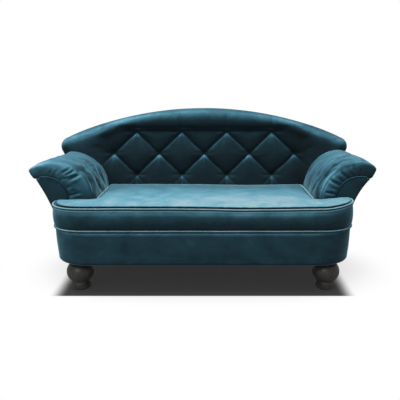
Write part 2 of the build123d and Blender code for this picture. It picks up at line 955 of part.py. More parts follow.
pleat_shape = (pleat_half_width, pleat_neck, pleat_shoulder, pleat_depth)
roll_pleat_shape = (
    roll_pleat_half_width,
    roll_pleat_neck,
    roll_pleat_shoulder,
    roll_pleat_depth,
)
pleats = []
for across, up in tufts:
    for other_across, other_up in tufts:
        beside = abs(abs(across - other_across) - tuft_spacing / 2) < rest_gap
        above = abs(other_up - up - tuft_row_spacing) < rest_gap
        if beside and above:
            pleats.append(((across, up), (other_across, other_up)))
across_back = Vector(1, 0, 0)
out_of_back = back_plane.z_dir

with BuildPart() as back_cover:
    extrude(back_shape(0, post_back), amount=roll_front - post_back)
    back_faces = back_cover.faces().sort_by(Axis(back_plane.origin, out_of_back))
    fillet(back_faces[-1].edges().filter_by(GeomType.CIRCLE), back_edge_radius)
    # The tufted field lies behind the smooth border, with a sloping edge.
    with BuildSketch(back_plane.offset(field_front)) as field:
        with BuildLine():
            field_end = field_top - field_arch
            ThreePointArc(
                (-field_half_width, field_end),
                (0, field_top),
                (field_half_width, field_end),
            )
            Polyline(
                (field_half_width, field_end),
                (field_half_width, -3 * overrun),
                (-field_half_width, -3 * overrun),
                (-field_half_width, field_end),
            )
        make_face()
    extrude(
        field.sketch,
        amount=roll_proud + rest_gap,
        taper=-degrees(atan2(field_border, roll_proud)),
        mode=Mode.SUBTRACT,
    )
    for low, high in pleats:
        cut_valley(
            on_back(*low, field_front),
            on_back(*high, field_front),
            across_back,
            out_of_back,
            pleat_shape,
            pleat_rise,
        )
    for across, up in tufts:
        cut_dimple(
            on_back(across, up, field_front),
            out_of_back,
            tuft_radius,
            tuft_depth,
            roll_proud,
            tie_bore,
        )
        if up > tuft_middle_row + rest_gap:
            cut_valley(
                on_back(across, up, field_front),
                on_back(across, up + roll_pleat_length, roll_front),
                across_back,
                out_of_back,
                roll_pleat_shape,
                roll_pleat_rise,
            )
        if up < tuft_middle_row - rest_gap:
            cut_valley(
                on_back(across, up - tuft_row_spacing, field_front),
                on_back(across, up, field_front),
                across_back,
                out_of_back,
                roll_pleat_shape,
                pleat_rise,
            )
    # Pocket behind the cushion, where its zip runs.
    crevice_y = cushion_rear_y + crevice_depth
    crevice_top = deck_top + crevice_height
    # Above the pocket, the pad stands back far enough for the zip to pass when the cushion lifts.
    slot_y = bar_y + zip_pull_eye_radius + zip_passing_gap
    field_foot_y = base_rear_y - field_front / lean_cos
    slot_top = deck_top + (slot_y - field_foot_y) / lean_tan
    with BuildSketch(Plane.YZ.offset(-arm_face_x)) as crevice:
        with BuildLine():
            Polyline(
                (cushion_rear_y - overrun, deck_top - overrun),
                (crevice_y, deck_top - overrun),
                (crevice_y, crevice_top),
                (slot_y, crevice_top + crevice_slope),
                (slot_y, slot_top),
                (cushion_rear_y - overrun, slot_top),
                close=True,
            )
        make_face()
    extrude(crevice.sketch, amount=2 * arm_face_x, mode=Mode.SUBTRACT)
    # Room for the panel, the board, the foam and the roll's core.
    extrude(
        back_shape(back_board_inset - rest_gap, 0),
        amount=pad_back + rest_gap,
        mode=Mode.SUBTRACT,
    )
    add(roll_core_room.part, mode=Mode.SUBTRACT)
    bore_for_ties(tie_bore, pad_back - overrun, field_front)
    trim_to_deck()
keep(back_cover, "back_cover")

with BuildPart() as tuft_ties:
    with BuildSketch(back_plane.offset(board_back - tie_washer_thickness)) as twine:
        with Locations(*tufts):
            Circle(tie_radius)
    extrude(twine.sketch, amount=field_front - tuft_depth - board_back + tie_knot_rise)
keep(tuft_ties, "tuft_ties")

with BuildPart() as tuft_washers:
    with BuildSketch(back_plane.offset(board_back - rest_gap)) as washers:
        with Locations(*tufts):
            Circle(tie_washer_radius)
            Circle(tie_bore, mode=Mode.SUBTRACT)
    extrude(washers.sketch, amount=-tie_washer_thickness)
keep(tuft_washers, "tuft_washers")

# Arms: the right one, and its mirror image
board_front_y = arm_front_y + facing_recess + arm_facing_thickness + rest_gap
foam_front_y = arm_front_y + arm_foam_setback
low = deck_top + rest_gap
under_board = -arm_board_thickness - rest_gap
behind_panel = arm_panel_thickness + rest_gap
arm_run = arm_rear_y + overrun - arm_front_y

with BuildPart() as arm_board:
    with BuildSketch(Plane.XZ.offset(-board_front_y)) as board:
        add(arm_layer(-arm_board_thickness, 0, board_front_y))
        with Locations(flare_centre):
            Circle(flare_radius + behind_panel, mode=Mode.SUBTRACT)
    extrude(board.sketch, amount=-arm_run)
    cut_back_from_arm()
keep_pair(arm_board, "arm_board")

rear_former_y = base_rear_y - (roll_front + rest_gap) / lean_cos - former_thickness
for label, y in (("arm_front_former", board_front_y), ("arm_rear_former", rear_former_y)):
    with BuildPart() as former:
        extrude(arm_body(under_board, behind_panel, y, low), amount=-former_thickness)
        cut_back_from_arm()
    keep_pair(former, label)

tip_rail_x = arm_tip_x - arm_rail_inset
tip_rail_drop = (
    board_under_radius - sqrt(board_under_radius**2 - (tip_rail_x - arm_bend_x) ** 2)
)
tip_rail_z = board_top_centre + board_under_radius - tip_rail_drop - rest_gap
rail_front_y = board_front_y + former_thickness + rest_gap
with BuildPart() as arm_tip_rail:
    with Locations((tip_rail_x, rail_front_y, tip_rail_z)):
        Box(
            arm_rail_size,
            rear_former_y - rest_gap - rail_front_y,
            arm_rail_size,
            align=(Align.MAX, Align.MIN, Align.MAX),
        )
keep_pair(arm_tip_rail, "arm_tip_rail")

with BuildPart() as arm_foam:
    extrude(arm_layer(rest_gap, arm_foam_thickness, foam_front_y), amount=-arm_run)
    cut_back_from_arm()
keep_pair(arm_foam, "arm_foam")

with BuildPart() as arm_facing:
    extrude(
        arm_body(0, 0, arm_front_y + facing_recess, low), amount=-arm_facing_thickness
    )
    with BuildLine(Plane.XZ.offset(-piping_y)) as channel:
        arm_edge(piping_out, low)
    sweep_cord(channel.line, piping_radius + rest_gap, Mode.SUBTRACT)
keep_pair(arm_facing, "arm_facing")

with BuildPart() as arm_piping:
    with BuildLine(Plane.XZ.offset(-piping_y)) as cord:
        arm_edge(piping_out, low)
    sweep_cord(cord.line, piping_radius)
keep_pair(arm_piping, "arm_piping")

with BuildPart() as arm_outer_panel:
    with BuildSketch(Plane.XZ.offset(-board_front_y)) as upper:
        add(arm_body(-rest_gap, 0, board_front_y, deck_top))
        add(
            arm_body(-rest_gap, arm_panel_thickness, board_front_y, deck_top),
            mode=Mode.SUBTRACT,
        )
    extrude(upper.sketch, amount=-arm_run)
    cut_back_from_arm()
    with BuildSketch(Plane.XZ.offset(-arm_front_y - rest_gap)) as lower:
        with BuildLine():
            Polyline(
                (base_half_width - base_cover_thickness, base_bottom),
                (base_half_width, base_bottom),
                (base_half_width + base_flare, deck_top),
                (base_half_width - base_cover_thickness, deck_top),
                close=True,
            )
        make_face()
    extrude(lower.sketch, amount=arm_front_y + rest_gap - arm_rear_y)
keep_pair(arm_outer_panel, "arm_outer_panel")

arm_tufts = []
for angle, count, start in (
    (arm_tuft_upper_angle, 3, arm_tuft_first),
    (arm_tuft_middle_angle, 2, arm_tuft_first + arm_tuft_spacing / 2),
    (arm_tuft_lower_angle, 3, arm_tuft_first),
):
    for number in range(count):
        arm_tufts.append((angle, arm_front_y + start + number * arm_tuft_spacing))
arm_pleat_shape = (arm_pleat_half_width, arm_pleat_neck, arm_pleat_shoulder, arm_pleat_depth)
gather_shape = (gather_half_width, gather_neck, gather_shoulder, gather_depth)
pad_radius = arm_board_radius + arm_pad_thickness
along_arm = Vector(0, 1, 0)
forward = Vector(0, -1, 0)


def on_arm(radius, angle, y):
    """A point round the arm's bend, as a vector."""
    x, z = arm_point(radius, angle)
    return Vector(x, y, z)


def out_of_arm(angle):
    """The direction out of the arm's pad at an angle round the bend."""
    return Vector(-cos(radians(angle)), 0, sin(radians(angle)))


with BuildPart() as arm_cover:
    extrude(arm_layer(rest_gap, arm_pad_thickness, arm_front_y, True), amount=-arm_run)
    front_edges = arm_cover.faces().sort_by(Axis.Y)[0].edges()
    bend_centre = Vector(arm_bend_x, arm_front_y, arm_bend_z)
    middle_of_pad = arm_board_radius + arm_pad_thickness / 2
    fillet(
        front_edges.filter_by(
            lambda e: (e @ 0.5).Z > deck_top + arm_pad_round
            and (e @ 0.5 - bend_centre).length > middle_of_pad
        ),
        arm_pad_round,
    )
    for angle, y in arm_tufts:
        for other_angle, other_y in arm_tufts:
            beside = abs(abs(y - other_y) - arm_tuft_spacing / 2) < rest_gap
            above = 0 < other_angle - angle < arm_tuft_upper_angle - arm_tuft_lower_angle
            if beside and above:
                cut_valley(
                    on_arm(pad_radius, angle, y),
                    on_arm(pad_radius, other_angle, other_y),
                    along_arm,
                    out_of_arm((angle + other_angle) / 2),
                    arm_pleat_shape,
                    arm_pleat_rise,
                )
        if angle == arm_tuft_upper_angle:
            cut_valley(
                on_arm(pad_radius, angle, y),
                on_arm(pad_radius, 90, y),
                along_arm,
                out_of_arm((angle + 90) / 2),
                gather_shape,
                arm_pleat_rise,
            )
        cut_dimple(
            on_arm(pad_radius, angle, y),
            out_of_arm(angle),
            arm_tuft_radius,
            arm_tuft_depth,
            arm_pleat_rise,
            tie_radius,
        )
    for angle in gather_angles:
        inner_end = on_arm(arm_board_radius + piping_radius, angle, arm_front_y)
        cut_valley(
            inner_end,
            inner_end + out_of_arm(angle) * gather_length + forward * gather_depth,
            out_of_arm(angle + 90),
            forward,
            gather_shape,
            arm_pleat_rise,
        )
    with BuildLine(Plane.XZ.offset(-piping_y)) as cover_channel:
        arm_edge(piping_out, low)
    sweep_cord(cover_channel.line, piping_radius + rest_gap, Mode.SUBTRACT)
    extrude(
        arm_layer(0, arm_foam_thickness + rest_gap, foam_front_y - rest_gap),
        amount=-arm_run,
        mode=Mode.SUBTRACT,
    )
    cut_back_from_arm()
keep_pair(arm_cover, "arm_cover")

# Seat cushion
boxing_taper = degrees(atan2(boxing_bulge, (cushion_thickness - boxing_flat) / 2))
boxing_slope = (cushion_thickness - boxing_flat) / 2
cord_inset = piping_radius - piping_proud
bottom_cord_z = seat_bottom + piping_radius
foam_skin = cushion_cover_thickness + rest_gap
crown_middle = crown_run_share * cushion_crown_run
crown_low = crown_rise_share * cushion_crown


def crown(skin):
    """Adds the crown of the cushion between the arms, drawn in by the thickness of its skin."""
    level = seat_seam + cushion_edge_rise - skin
    inset = cushion_crown_start + skin
    for run, rise in (
        (crown_middle, crown_low),
        (cushion_crown_run - crown_middle, cushion_crown - crown_low),
    ):
        with BuildSketch(Plane.XY.offset(level)) as stage:
            with Locations((0, (front_y + cushion_rear_y) / 2)):
                Rectangle(
                    2 * (cushion_half_width - inset), cushion_depth - 2 * inset
                )
        extrude(stage.sketch, amount=rise, taper=degrees(atan2(run, rise)))
        level += rise
        inset += run


def inside_cushion(skin):
    """Adds what lies inside a skin of the cushion's cover."""
    bottom = seat_bottom + skin
    extrude(
        seat_plan(boxing_bulge + skin, bottom),
        amount=seat_seam + cushion_edge_rise - skin - bottom,
    )
    crown(skin)


with BuildPart() as cushion_foam:
    inside_cushion(foam_skin)
keep(cushion_foam, "cushion_foam")

with BuildPart() as cushion_room:
    inside_cushion(cushion_cover_thickness)

with BuildPart() as cushion_edge:
    extrude(seat_plan(boxing_bulge, seat_seam), amount=cushion_edge_rise)
    fillet(cushion_edge.edges().group_by(Axis.Z)[-1], cushion_edge_round)

cord_levels = {
    "cushion_bottom_piping": bottom_cord_z,
    "cushion_top_piping": seat_seam,
}
with BuildPart() as cord_rooms:
    for level in cord_levels.values():
        sweep_cord(half_seam(cord_inset, level), piping_radius + rest_gap)
    mirror(about=middle_plane)

with BuildPart() as cushion_cover:
    extrude(
        seat_plan(boxing_bulge, seat_bottom), amount=boxing_slope, taper=-boxing_taper
    )
    extrude(seat_plan(0, seat_bottom + boxing_slope), amount=boxing_flat)
    extrude(
        seat_plan(0, seat_seam - boxing_slope), amount=boxing_slope, taper=boxing_taper
    )
    add(cushion_edge.part)
    crown(0)
    add(cord_rooms.part, mode=Mode.SUBTRACT)
    add(cushion_room.part, mode=Mode.SUBTRACT)
keep(cushion_cover, "cushion_cover")

for label, level in cord_levels.items():
    with BuildPart() as cord:
        sweep_cord(half_seam(cord_inset, level), piping_radius)
        mirror(about=middle_plane)
    keep(cord, label)

# Zip of the cushion's cover
coil_half = zip_slit / 2 + zip_coil_width
eye_half = zip_pull_eye_length / 2
ear_x = eye_half + zip_running_gap
slider_inner_half = coil_half + zip_running_gap
slider_half = slider_inner_half + zip_lip

with BuildPart() as zip_tape:
    with BuildSketch(Plane.XZ.offset(-cushion_rear_y)) as tape:
        for side in (-1, 1):
            with Locations((0, zip_level + side * zip_slit / 2)):
                Rectangle(
                    2 * zip_half_length,
                    (zip_tape_width - zip_slit) / 2,
                    align=(Align.CENTER, Align.MIN if side > 0 else Align.MAX),
                )
    extrude(tape.sketch, amount=-zip_tape_thickness)
keep(zip_tape, "zip_tape")

with BuildPart() as zip_teeth:
    with BuildSketch(Plane.XZ.offset(-tape_y)) as coils:
        for side in (-1, 1):
            with Locations((0, zip_level + side * zip_slit / 2)):
                Rectangle(
                    2 * zip_half_length,
                    zip_coil_width,
                    align=(Align.CENTER, Align.MIN if side > 0 else Align.MAX),
                )
    extrude(coils.sketch, amount=-zip_coil_thickness)
keep(zip_teeth, "zip_teeth")

slider_x = -zip_half_length + zip_stop
with BuildPart() as zip_slider:
    with BuildSketch(Plane.YZ.offset(slider_x - zip_slider_length / 2)) as channel:
        with Locations((tape_y + zip_running_gap, zip_level)):
            Rectangle(
                plate_top_y - tape_y - zip_running_gap,
                2 * slider_half,
                align=(Align.MIN, Align.CENTER),
            )
            Rectangle(
                plate_y - tape_y - zip_running_gap,
                2 * slider_inner_half,
                align=(Align.MIN, Align.CENTER),
                mode=Mode.SUBTRACT,
            )
    extrude(channel.sketch, amount=zip_slider_length)
    for side in (-1, 1):
        with BuildSketch(Plane.YZ.offset(slider_x + side * ear_x)) as ear:
            with Locations((bar_y, zip_level)):
                Circle(zip_ear_radius)
            with Locations((plate_top_y, zip_level)):
                Rectangle(
                    zip_bar_rise, 2 * zip_ear_radius, align=(Align.MIN, Align.CENTER)
                )
        extrude(ear.sketch, amount=side * zip_ear_thickness)
    with BuildSketch(Plane.YZ.offset(slider_x - ear_x)) as bar:
        with Locations((bar_y, zip_level)):
            Circle(zip_bar_radius)
    extrude(bar.sketch, amount=2 * ear_x)
keep(zip_slider, "zip_slider")

with BuildPart() as zip_pull:
    with BuildSketch(Plane.YZ.offset(slider_x - eye_half)) as eye:
        with Locations((bar_y, zip_level)):
            Circle(zip_pull_eye_radius)
            Circle(zip_bar_radius + zip_running_gap, mode=Mode.SUBTRACT)
    extrude(eye.sketch, amount=zip_pull_eye_length)
    with BuildSketch(Plane.XZ.offset(-bar_y - zip_pull_thickness / 2)) as tab:
        with BuildLine():
            neck_top = zip_level - zip_pull_eye_radius + zip_pull_thickness / 2
            shoulder = neck_top - zip_pull_neck
            tip = zip_level - zip_pull_length
            Polyline(
                (slider_x - eye_half, neck_top),
                (slider_x - eye_half, shoulder),
                (slider_x - zip_pull_half_width, shoulder - zip_pull_neck),
                (slider_x - zip_pull_half_width, tip),
                (slider_x + zip_pull_half_width, tip),
                (slider_x + zip_pull_half_width, shoulder - zip_pull_neck),
                (slider_x + eye_half, shoulder),
                (slider_x + eye_half, neck_top),
                close=True,
            )
        make_face()
        fillet(tab.vertices().group_by(Axis.Y)[0], zip_pull_half_width / 2)
    extrude(tab.sketch, amount=zip_pull_thickness)
keep(zip_pull, "zip_pull")
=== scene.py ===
import json
from math import atan2, cos, hypot, inf, pi, radians, sin, sqrt

import bmesh
import bpy
import numpy as np
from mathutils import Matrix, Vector
from mathutils.geometry import delaunay_2d_cdt
from mathutils.kdtree import KDTree


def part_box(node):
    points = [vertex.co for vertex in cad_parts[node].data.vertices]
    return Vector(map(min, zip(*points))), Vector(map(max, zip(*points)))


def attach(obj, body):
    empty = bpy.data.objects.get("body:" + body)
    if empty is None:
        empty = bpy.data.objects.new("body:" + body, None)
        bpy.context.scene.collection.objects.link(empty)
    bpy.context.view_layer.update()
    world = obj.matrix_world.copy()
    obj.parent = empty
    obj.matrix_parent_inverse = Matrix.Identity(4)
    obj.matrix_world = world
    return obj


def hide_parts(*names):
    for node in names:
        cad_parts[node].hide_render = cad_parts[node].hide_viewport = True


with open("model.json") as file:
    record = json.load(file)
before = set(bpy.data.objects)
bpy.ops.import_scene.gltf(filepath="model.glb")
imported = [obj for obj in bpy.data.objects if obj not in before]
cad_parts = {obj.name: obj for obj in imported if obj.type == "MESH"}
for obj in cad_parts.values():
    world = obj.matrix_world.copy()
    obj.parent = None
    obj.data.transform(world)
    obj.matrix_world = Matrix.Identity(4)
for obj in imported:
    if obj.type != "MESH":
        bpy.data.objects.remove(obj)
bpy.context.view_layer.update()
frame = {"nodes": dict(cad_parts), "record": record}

# A pet sofa in velvet. Lengths here are in millimetres, in the frame's axes: +X right, -Y front,
# +Z up, unless a comment says otherwise. make_piece and set_points turn them to metres.
MM = 0.001
scene = bpy.context.scene
nodes = frame["nodes"]


def corners(node):
    """Lowest and highest corner of a CAD node, in millimetres."""
    low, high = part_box(node)
    return np.array(low) / MM, np.array(high) / MM


# Places read from the frame
seat_low, seat_high = corners("cushion_cover")
pad_low, _ = corners("arm_cover_right")
front_y = seat_low[1]
seat_rear_y = seat_high[1]
seat_bottom = seat_low[2]
deck_top = corners("deck")[1][2]
base_rear_y = corners("base_rear_cover")[1][1]
base_bottom = corners("base_front_cover")[0][2]
base_front_y = front_y + 8
arm_front_y = pad_low[1]
arm_face_x = pad_low[0]
zip_low, zip_high = corners("zip_tape")
zip_level = (zip_low[2] + zip_high[2]) / 2

# Seat cushion
SEAT_SIDE = 328
SEAT_EAR = 450
SEAT_EAR_Y = arm_front_y - 3
SEAT_SEAM = seat_bottom + 70
SEAT_FRONT_RADIUS = 105
SEAT_CORNER_RADIUS = 14

# Base
BASE_SIDE = 440
BASE_RADIUS = 110
BASE_FLARE = 6
BASE_THICK = 5
FOOT_HOLE = 30.5
TAPE_HALF = 12.5

# Back, measured up its slope and out of its rear face
LEAN = radians(8)
BACK_HEIGHT = 325
ARCH_RADIUS = 1190
BACK_CORNER = 33
BACK_WIDEST = 521
BACK_FOOT = 443
ROLL_FRONT = 118.3
ROLL_ROUND = 31
TUFT_SPACING = 158
TUFT_ROWS = 76
TUFT_MIDDLE = 165
TIE_FRONT = 81.8
BACK_ACROSS = np.array((1.0, 0.0, 0.0))
BACK_UP = np.array((0.0, sin(LEAN), cos(LEAN)))
BACK_OUT = np.array((0.0, -cos(LEAN), sin(LEAN)))
back_foot = np.array((0.0, base_rear_y, deck_top))

# Arms
BOARD_RADIUS = 73
PAD_THICK = 57
PAD_RADIUS = BOARD_RADIUS + PAD_THICK
WORN = 14
BEND_X = arm_face_x + PAD_RADIUS
BEND_Z = deck_top + 69
TIP_X = BEND_X + 46
TIP_Z = BEND_Z + BOARD_RADIUS - 6
NOSE_REACH = 14
NOSE_THICK = 32
SIDE_THICK = 4
FULLER = 8

# Covers and cords
CLEAR = 0.4
CLOTH_PRESSURE = 4
CLOTH_STEPS = 16
CORD_SIDES = 14

# Way that the painted light comes from: the velvet is painted lightest on faces that look this way
PAINTED_LIGHT_WAY = np.array((-0.22, -0.05, 0.97))


# Meshes


def change_mesh(piece, change):
    """Changes the piece's mesh and shades it smooth."""
    shape = bmesh.new()
    shape.from_mesh(piece.data)
    change(shape)
    for face in shape.faces:
        face.smooth = True
    shape.to_mesh(piece.data)
    shape.free()
    piece.data.update()


def mend(piece):
    """Merges doubled points and turns the faces outwards."""

    def change(shape):
        bmesh.ops.remove_doubles(shape, verts=shape.verts, dist=0.00001)
        bmesh.ops.recalc_face_normals(shape, faces=shape.faces)

    change_mesh(piece, change)


def divide_near(piece, chosen):
    """Halves the edges between chosen points, for details finer than the mesh."""

    def change(shape):
        shape.verts.ensure_lookup_table()
        edges = [e for e in shape.edges if chosen[e.verts[0].index] and chosen[e.verts[1].index]]
        bmesh.ops.subdivide_edges(shape, edges=edges, cuts=1, use_grid_fill=True)

    change_mesh(piece, change)


def add_object(name, content):
    made = bpy.data.objects.new(name, content)
    scene.collection.objects.link(made)
    return made


def make_piece(name, points, faces, finish):
    """A smooth mesh object from points in millimetres."""
    mesh = bpy.data.meshes.new(name)
    mesh.from_pydata((np.asarray(points, float) * MM).tolist(), [], [list(map(int, f)) for f in faces])
    mesh.materials.append(finish)
    piece = add_object(name, mesh)
    mend(piece)
    return piece


def join(name, pieces):
    """One object from several meshes of one finish."""
    shape = bmesh.new()
    mesh = bpy.data.meshes.new(name)
    mesh.materials.append(pieces[0].data.materials[0])
    for piece in pieces:
        shape.from_mesh(piece.data)
        bpy.data.objects.remove(piece)
    shape.to_mesh(mesh)
    shape.free()
    return even_finish(add_object(name, mesh))


def even_finish(piece):
    """Gives every face the piece's first finish and smooth shading."""
    for face in piece.data.polygons:
        face.use_smooth = True
        face.material_index = 0
    return piece


def read_vectors(piece, what):
    flat = np.empty(len(piece.data.vertices) * 3)
    piece.data.vertices.foreach_get(what, flat)
    return flat.reshape(-1, 3)


def get_points(piece):
    return read_vectors(piece, "co") / MM


def set_points(piece, points):
    piece.data.vertices.foreach_set("co", (points * MM).ravel())
    piece.data.update()


def bake(piece, finish):
    """Makes what the piece's modifiers show its own plain mesh."""
    graph = bpy.context.evaluated_depsgraph_get()
    made = bpy.data.meshes.new_from_object(piece.evaluated_get(graph))
    piece.modifiers.clear()
    old = piece.data
    piece.data = made
    bpy.data.meshes.remove(old)
    made.name = piece.name
    made.materials.clear()
    made.materials.append(finish)


def change_by(piece, kind, **settings):
    """Makes what a modifier gives the piece's own mesh."""
    modifier = piece.modifiers.new(kind.lower(), kind)
    for name, value in settings.items():
        setattr(modifier, name, value)
    bake(piece, velvet_cloth)


def even_out(piece, size):
    """Gives the piece an even mesh of that size, for the cloth."""
    change_by(piece, "REMESH", mode="VOXEL", voxel_size=size * MM, use_smooth_shade=True)


def refine(piece):
    """Divides the mesh once and rounds it."""
    change_by(piece, "SUBSURF", levels=1, render_levels=1)


def swell(piece, held, most):
    """Blows the cover up as cloth. Held points stay, and no point moves further than most."""
    start = get_points(piece)
    pins = piece.vertex_groups.new(name="held")
    pins.add(np.flatnonzero(held).tolist(), 1.0, "REPLACE")
    cloth = piece.modifiers.new("cloth", "CLOTH").settings
    cloth.use_pressure = True
    cloth.uniform_pressure_force = CLOTH_PRESSURE
    cloth.vertex_group_mass = "held"
    cloth.effector_weights.gravity = 0
    for number in range(1, CLOTH_STEPS + 1):
        scene.frame_set(number)
    bake(piece, velvet_cloth)
    scene.frame_set(1)
    piece.vertex_groups.clear()
    moved = get_points(piece) - start
    far = np.linalg.norm(moved, axis=1)
    moved *= (most * np.tanh(far / most) / np.maximum(far, 1e-6))[:, None]
    set_points(piece, start + moved)


def soften(piece, values, rounds, held=None):
    """Evens out values over neighbouring points, except at the held ones."""
    edges = np.empty(len(piece.data.edges) * 2, int)
    piece.data.edges.foreach_get("vertices", edges)
    a, b = edges.reshape(-1, 2).T
    count = np.maximum(np.bincount(edges, minlength=len(values)), 1)
    for _ in range(rounds):
        total = np.bincount(a, values[b], len(values)) + np.bincount(b, values[a], len(values))
        change = (total / count - values) / 2
        if held is not None:
            change[held] = 0
        values = values + change
    return values


def relax(piece, rounds, held=None):
    """Smooths the mesh a little."""
    set_points(piece, np.column_stack([soften(piece, c, rounds, held) for c in get_points(piece).T]))


def paint_light(piece, lift=0.0, waves_and_painted_light=0.0, rounds=0, contrast=1.0, middle=0.5):
    """Writes painted light: lightest on faces that look up, plus the painted light and shade given."""
    shape = soften(piece, 0.5 + 0.5 * (read_vectors(piece, "normal") @ PAINTED_LIGHT_WAY), rounds)
    value = middle + (shape - middle) * contrast + lift + waves_and_painted_light
    mark = piece.data.attributes.new("nap", "FLOAT", "POINT")
    mark.data.foreach_set("value", np.clip(value, 0, 1.2).astype(np.float32))


# Lines and waves


def blur_noise(u, v, size, seed):
    """Smooth random waves of about that size, from -1 to 1."""
    pick = np.random.default_rng(seed)
    total = np.zeros_like(u)
    for _ in range(7):
        angle = pick.uniform(0, 2 * pi)
        length = size * pick.uniform(0.7, 1.5)
        phase = pick.uniform(0, 2 * pi)
        total += np.sin((u * cos(angle) + v * sin(angle)) * 2 * pi / length + phase)
    return total / 4


def ease(value):
    """A smooth step from 0 to 1."""
    value = np.clip(value, 0, 1)
    return value * value * (3 - 2 * value)


def bump(gap, wide):
    """A smooth hump, 1 at no gap."""
    return np.exp(-((gap / wide) ** 2))


def crease(gap, wide, deep):
    """Depth of a crease at a distance from its line, with the cloth lifted beside it."""
    return deep * (np.exp(-((gap / wide) ** 1.5)) - 0.38 * bump(gap - 2.3 * wide, 1.5 * wide))


def way_along(line):
    """How far along a line each of its points lies."""
    return np.concatenate(((0,), np.cumsum(np.linalg.norm(np.diff(line, axis=0), axis=1))))


def spaced(line, count, endpoint=True):
    """That many points at even distances along a line."""
    along = way_along(line)
    marks = np.linspace(0, along[-1], count, endpoint=endpoint)
    return np.column_stack([np.interp(marks, along, c) for c in np.transpose(line)])


def resample(line, step):
    """A line's points, about step apart."""
    return spaced(line, max(2, int(way_along(line)[-1] / step) + 1))


def close_loop(lines, step):
    """One closed outline from lines that follow each other."""
    return np.vstack([resample(line, step)[:-1] for line in lines])


def close_corners(corner_list, step):
    """One closed outline of straight lines from corner to corner."""
    return close_loop(list(zip(corner_list, corner_list[1:] + corner_list[:1])), step)


def between(inner, outer, step):
    """The closed outline round what lies between two lines that run the same way."""
    outer = outer[::-1]
    return close_loop([inner, (inner[-1], outer[0]), outer, (outer[-1], inner[0])], step)


def along_line(line):
    """A function that gives the point and the direction at a distance along a line."""
    way = way_along(line)
    run = np.gradient(line, axis=0)
    run /= np.linalg.norm(run, axis=1)[:, None]

    def at(distance):
        point = [np.interp(distance, way, c) for c in line.T]
        turn = np.array([np.interp(distance, way, c) for c in run.T])
        return point, turn / np.linalg.norm(turn)

    return at, way[-1]


def near_line(u, v, start, end):
    """Distance from points to a straight line, and the share of the way along it."""
    run = np.subtract(end, start)
    along = np.clip(((u - start[0]) * run[0] + (v - start[1]) * run[1]) / (run @ run), 0, 1)
    return np.hypot(u - start[0] - along * run[0], v - start[1] - along * run[1]), along


def fold_depth(u, v, line, wide, deep):
    """Depth of one fold along a line of points, shallow at its ends."""
    way = way_along(line)
    way = way / way[-1]
    best = np.full(u.shape, 999.0)
    share = np.zeros(u.shape)
    for number in range(len(line) - 1):
        gap, along = near_line(u, v, line[number], line[number + 1])
        nearer = gap < best
        best = np.where(nearer, gap, best)
        share = np.where(nearer, way[number] + along * (way[number + 1] - way[number]), share)
    return crease(best, wide, deep) * np.sin(pi * np.clip(share, 0.02, 0.98)) ** 0.6


def plane_tree(points):
    """A tree that finds the nearest of some points in a plane."""
    tree = KDTree(len(points))
    for number, (u, v) in enumerate(points):
        tree.insert((u, v, 0), number)
    tree.balance()
    return tree


def nearest(points, line):
    """Nearest of a line's points to each point."""
    tree = plane_tree(line)
    return np.array([line[tree.find((x, y, 0))[1]] for x, y in points])


def distance_to(points, line):
    return np.linalg.norm(nearest(points, line) - points, axis=1)


def at_level(flat, height):
    """Flat points, all at one height."""
    return np.column_stack((flat, np.full(len(flat), height)))


def inside(point, loop):
    """Whether a point lies in a closed outline."""
    x, y = point
    u, v = loop[:, 0], loop[:, 1]
    u2, v2 = np.roll(u, -1), np.roll(v, -1)
    crosses = (v > y) != (v2 > y)
    with np.errstate(divide="ignore", invalid="ignore"):
        at = (u2 - u) * (y - v) / (v2 - v) + u
    return bool(np.count_nonzero(crosses & (x < at)) % 2)


def arc(centre, radius, angles):
    """Points of a circle at some angles."""
    return np.array([centre + radius * np.array((cos(a), sin(a))) for a in angles])


def rounded(corner_list, step):
    """A closed outline from corners (x, y, radius), with points about step apart."""
    made = []
    for number, (x, y, radius) in enumerate(corner_list):
        place = np.array((x, y))
        before = corner_list[number - 1][:2] - place
        after = corner_list[(number + 1) % len(corner_list)][:2] - place
        before = before / np.linalg.norm(before)
        after = after / np.linalg.norm(after)
        half = np.arccos(np.clip(before @ after, -1, 1)) / 2
        middle = (before + after) / np.linalg.norm(before + after)
        centre = place + middle * radius / sin(half)
        start = place + before * radius / np.tan(half)
        end = place + after * radius / np.tan(half)
        first = atan2(*(start - centre)[::-1])
        turn = (atan2(*(end - centre)[::-1]) - first + pi) % (2 * pi) - pi
        parts = max(3, int(abs(turn) * radius / step) + 1)
        made.extend(arc(centre, radius, first + turn * np.linspace(0, 1, parts + 1)))
    full = []
    for point, after in zip(made, made[1:] + made[:1]):
        parts = max(1, int(np.linalg.norm(after - point) / step + 0.5))
        full += [point + (after - point) * share / parts for share in range(parts)]
    return np.array(full)


# Solids from lines


def ring_faces(rings, around, closed=False):
    """The faces between rings of points, each with the same count round it."""
    faces = []
    for number in range(rings if closed else rings - 1):
        low, high = number * around, (number + 1) % rings * around
        for turn in range(around):
            after = (turn + 1) % around
            faces.append((low + turn, low + after, high + after, high + turn))
    return faces


def loft(name, slices):
    """A closed velvet solid through rings of points that have the same count."""
    count = len(slices[0])
    points = np.concatenate(slices)
    ends = [tuple(range(count))[::-1], tuple(range(len(points) - count, len(points)))]
    return make_piece(name, points, ends + ring_faces(len(slices), count), velvet_cloth)


